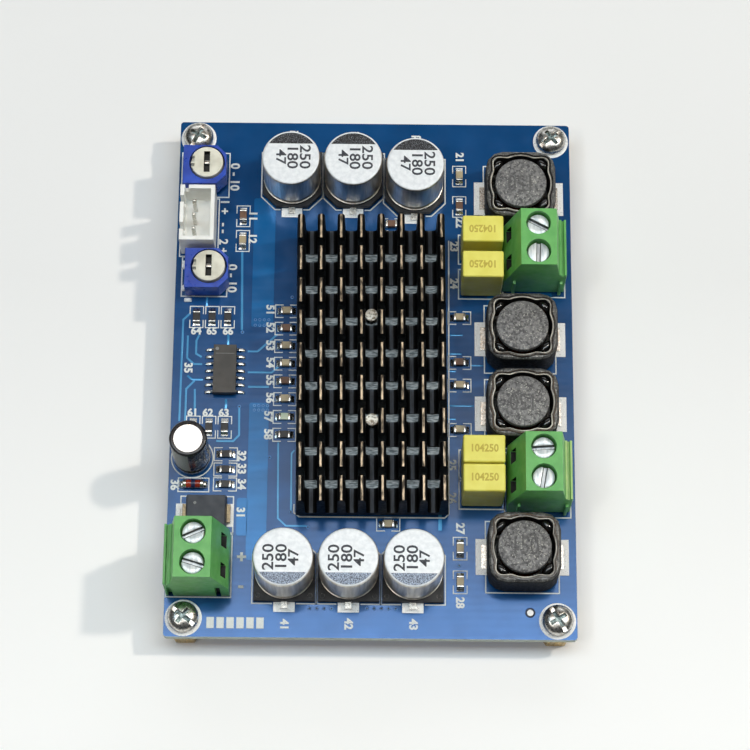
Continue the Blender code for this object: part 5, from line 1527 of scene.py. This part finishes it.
def make_chips():
    for node, half, name in (("preamp_chip", 1.95, "preamp"), ("amplifier_chip", 3.05, "amplifier")):
        chip = coat(refined(f"{name}_shown", node, 0.05 * MM, 2), "chip")
        x = middle(node)[0]
        face_coat(chip, "lead", lambda face: abs(face.center.x - x) > (half + 0.02) * MM)
        dressed(chip, None, stands_for=node)
    x, y = middle("preamp_chip")
    low, high = ink_heights("preamp_chip")
    spot = rod("spot", (x - 1.35 * MM, y + 3.6 * MM), low, high, 0.6 * MM)
    line = cuboid(x, y + 2.74 * MM, 3.2 * MM, 0.08 * MM, low, high)
    dressed(joined("preamp_marks", [spot, line]), "sleeve_print")


def make_power_diode():
    diode = coat(refined("power_diode_shown", "power_diode", 0.10 * MM, 2), "diode")
    x, y = middle("power_diode")

    def on_lead(face):
        return abs(face.center.x - x) > 3.46 * MM and abs(face.center.y - y) < 1.6 * MM

    dressed(face_coat(diode, "dull_lead", on_lead), None, stands_for="power_diode")
    spot = rod("diode_spot", (x - 1.9 * MM, y + 1.5 * MM), *ink_heights("power_diode"), 0.5 * MM)
    dressed(spot, "sleeve_print")


make_slab()
make_tracks()
make_pads()
make_pad_solder()
make_test_point()
make_print()
make_small_parts()
make_glass_diode()
make_joints_below()
make_heatsink()
make_sink_screws()
make_corners()
make_cans()
make_coils()
make_films()
make_terminals()
make_trimmers()
make_socket()
make_small_capacitor()
make_chips()
make_power_diode()


# Camera, light and floor

CAMERA_TILT = math.radians(18.27)
CAMERA_SIDE = math.radians(-0.43)
CAMERA_ROLL = math.radians(0.50)
CAMERA_DISTANCE = 426.2 * MM
CAMERA_TARGET = Vector((0.40 * MM, -0.47 * MM, BOARD_TOP))
CAMERA_LENS = 118.9
FLOOR_SPAN = 30.0


def make_camera():
    """The photo's view: steeply from above, a little from the near side."""
    reach = math.sin(CAMERA_TILT)
    away = Vector((math.sin(CAMERA_SIDE) * reach, -math.cos(CAMERA_SIDE) * reach, math.cos(CAMERA_TILT)))
    right = (-away).cross(Vector((0.0, 1.0, 0.0))).normalized()
    up = right.cross(-away)
    cosine, sine = math.cos(CAMERA_ROLL), math.sin(CAMERA_ROLL)
    right, up = cosine * right + sine * up, cosine * up - sine * right
    data = bpy.data.cameras.new("camera")
    data.lens = CAMERA_LENS
    data.sensor_width = 36.0
    data.clip_start, data.clip_end = 0.01, 100.0
    camera = bpy.data.objects.new("camera", data)
    bpy.context.scene.collection.objects.link(camera)
    turn = Matrix((right, up, away)).transposed()
    camera.matrix_world = Matrix.Translation(CAMERA_TARGET + CAMERA_DISTANCE * away) @ turn.to_4x4()
    bpy.context.scene.camera = camera


def make_floor():
    """A pale sweep under the board, with painted light: lighter and glowing towards the near side."""
    bpy.ops.object.select_all(action="DESELECT")
    bpy.ops.mesh.primitive_plane_add(size=FLOOR_SPAN, location=(0.0, 0.0, 0.0))
    floor = bpy.context.active_object
    floor.name = "floor"
    placed(floor)
    look = Look("floor", (241, 241, 240), 0.85, Specular_IOR_Level=0.2)
    cloud = look.spread_to(look.noise(0.15), 0.3, 0.7)
    # Painted light: the floor's colour turns lighter towards the near side.
    near = look.spread_to(look.across(1), 0.02, -0.06)
    far_tone = look.blend(cloud, paint((241, 241, 240)), paint((244, 244, 243)))
    look.feed("Base Color", look.blend(near, far_tone, paint((252, 252, 251))))
    # Painted light: a glow on the near side, seen by the camera and in reflections.
    rays = [f"Is {kind} Ray" for kind in ("Camera", "Glossy", "Transmission")]
    seen, mirrored, passed = (look.node("ShaderNodeLightPath", {}, {}, ray) for ray in rays)
    look.shader.inputs["Emission Strength"].default_value = 1.0
    painted_glow = (seen + mirrored + passed) * near
    look.feed("Emission Color", look.blend(painted_glow, paint((0, 0, 0)), paint((84, 84, 82))))
    floor.data.materials.append(look.material)


def make_world():
    world = bpy.data.worlds.new("studio")
    bpy.context.scene.world = world
    world.use_nodes = True
    background = world.node_tree.nodes["Background"]
    background.inputs["Color"].default_value = (0.86, 0.93, 1.0, 1.0)
    background.inputs["Strength"].default_value = 0.06


# Lamps: name, place, size, power and colour. They all face the origin.
LAMPS = (
    ("softbox", (0.0, 0.05, 1.0), (1.30, 0.30), 5.4, (0.58, 0.83, 1.0)),
    ("fill", (0.0, 0.10, 1.1), (0.90, 0.50), 3.0, (1.0, 0.66, 0.40)),
    ("far_panel", (0.0, 1.0, 0.6), (1.20, 0.50), 2.6, (0.95, 0.98, 1.0)),
    ("key", (0.71, 0.19, 0.93), (0.06, 0.06), 4.3, (1.0, 0.91, 0.79)),
    ("side", (-0.44, -0.30, 1.0), (0.10, 0.10), 1.1, (1.0, 0.96, 0.90)),
)


def make_lamps():
    """A cool softbox above, a warm fill, a panel behind, a small warm lamp from the right and a faint one."""
    for name, place, size, power, colour in LAMPS:
        data = bpy.data.lights.new(name, "AREA")
        data.shape = "RECTANGLE"
        data.size, data.size_y = size
        data.energy = power
        data.color = colour
        data.specular_factor = 0.0 if name == "fill" else 1.0
        made = bpy.data.objects.new(name, data)
        bpy.context.scene.collection.objects.link(made)
        made.location = place
        made.rotation_euler = (-Vector(place)).to_track_quat("-Z", "Y").to_euler()


make_camera()
make_floor()
make_world()
make_lamps()
bpy.context.scene.view_settings.view_transform = "Standard"
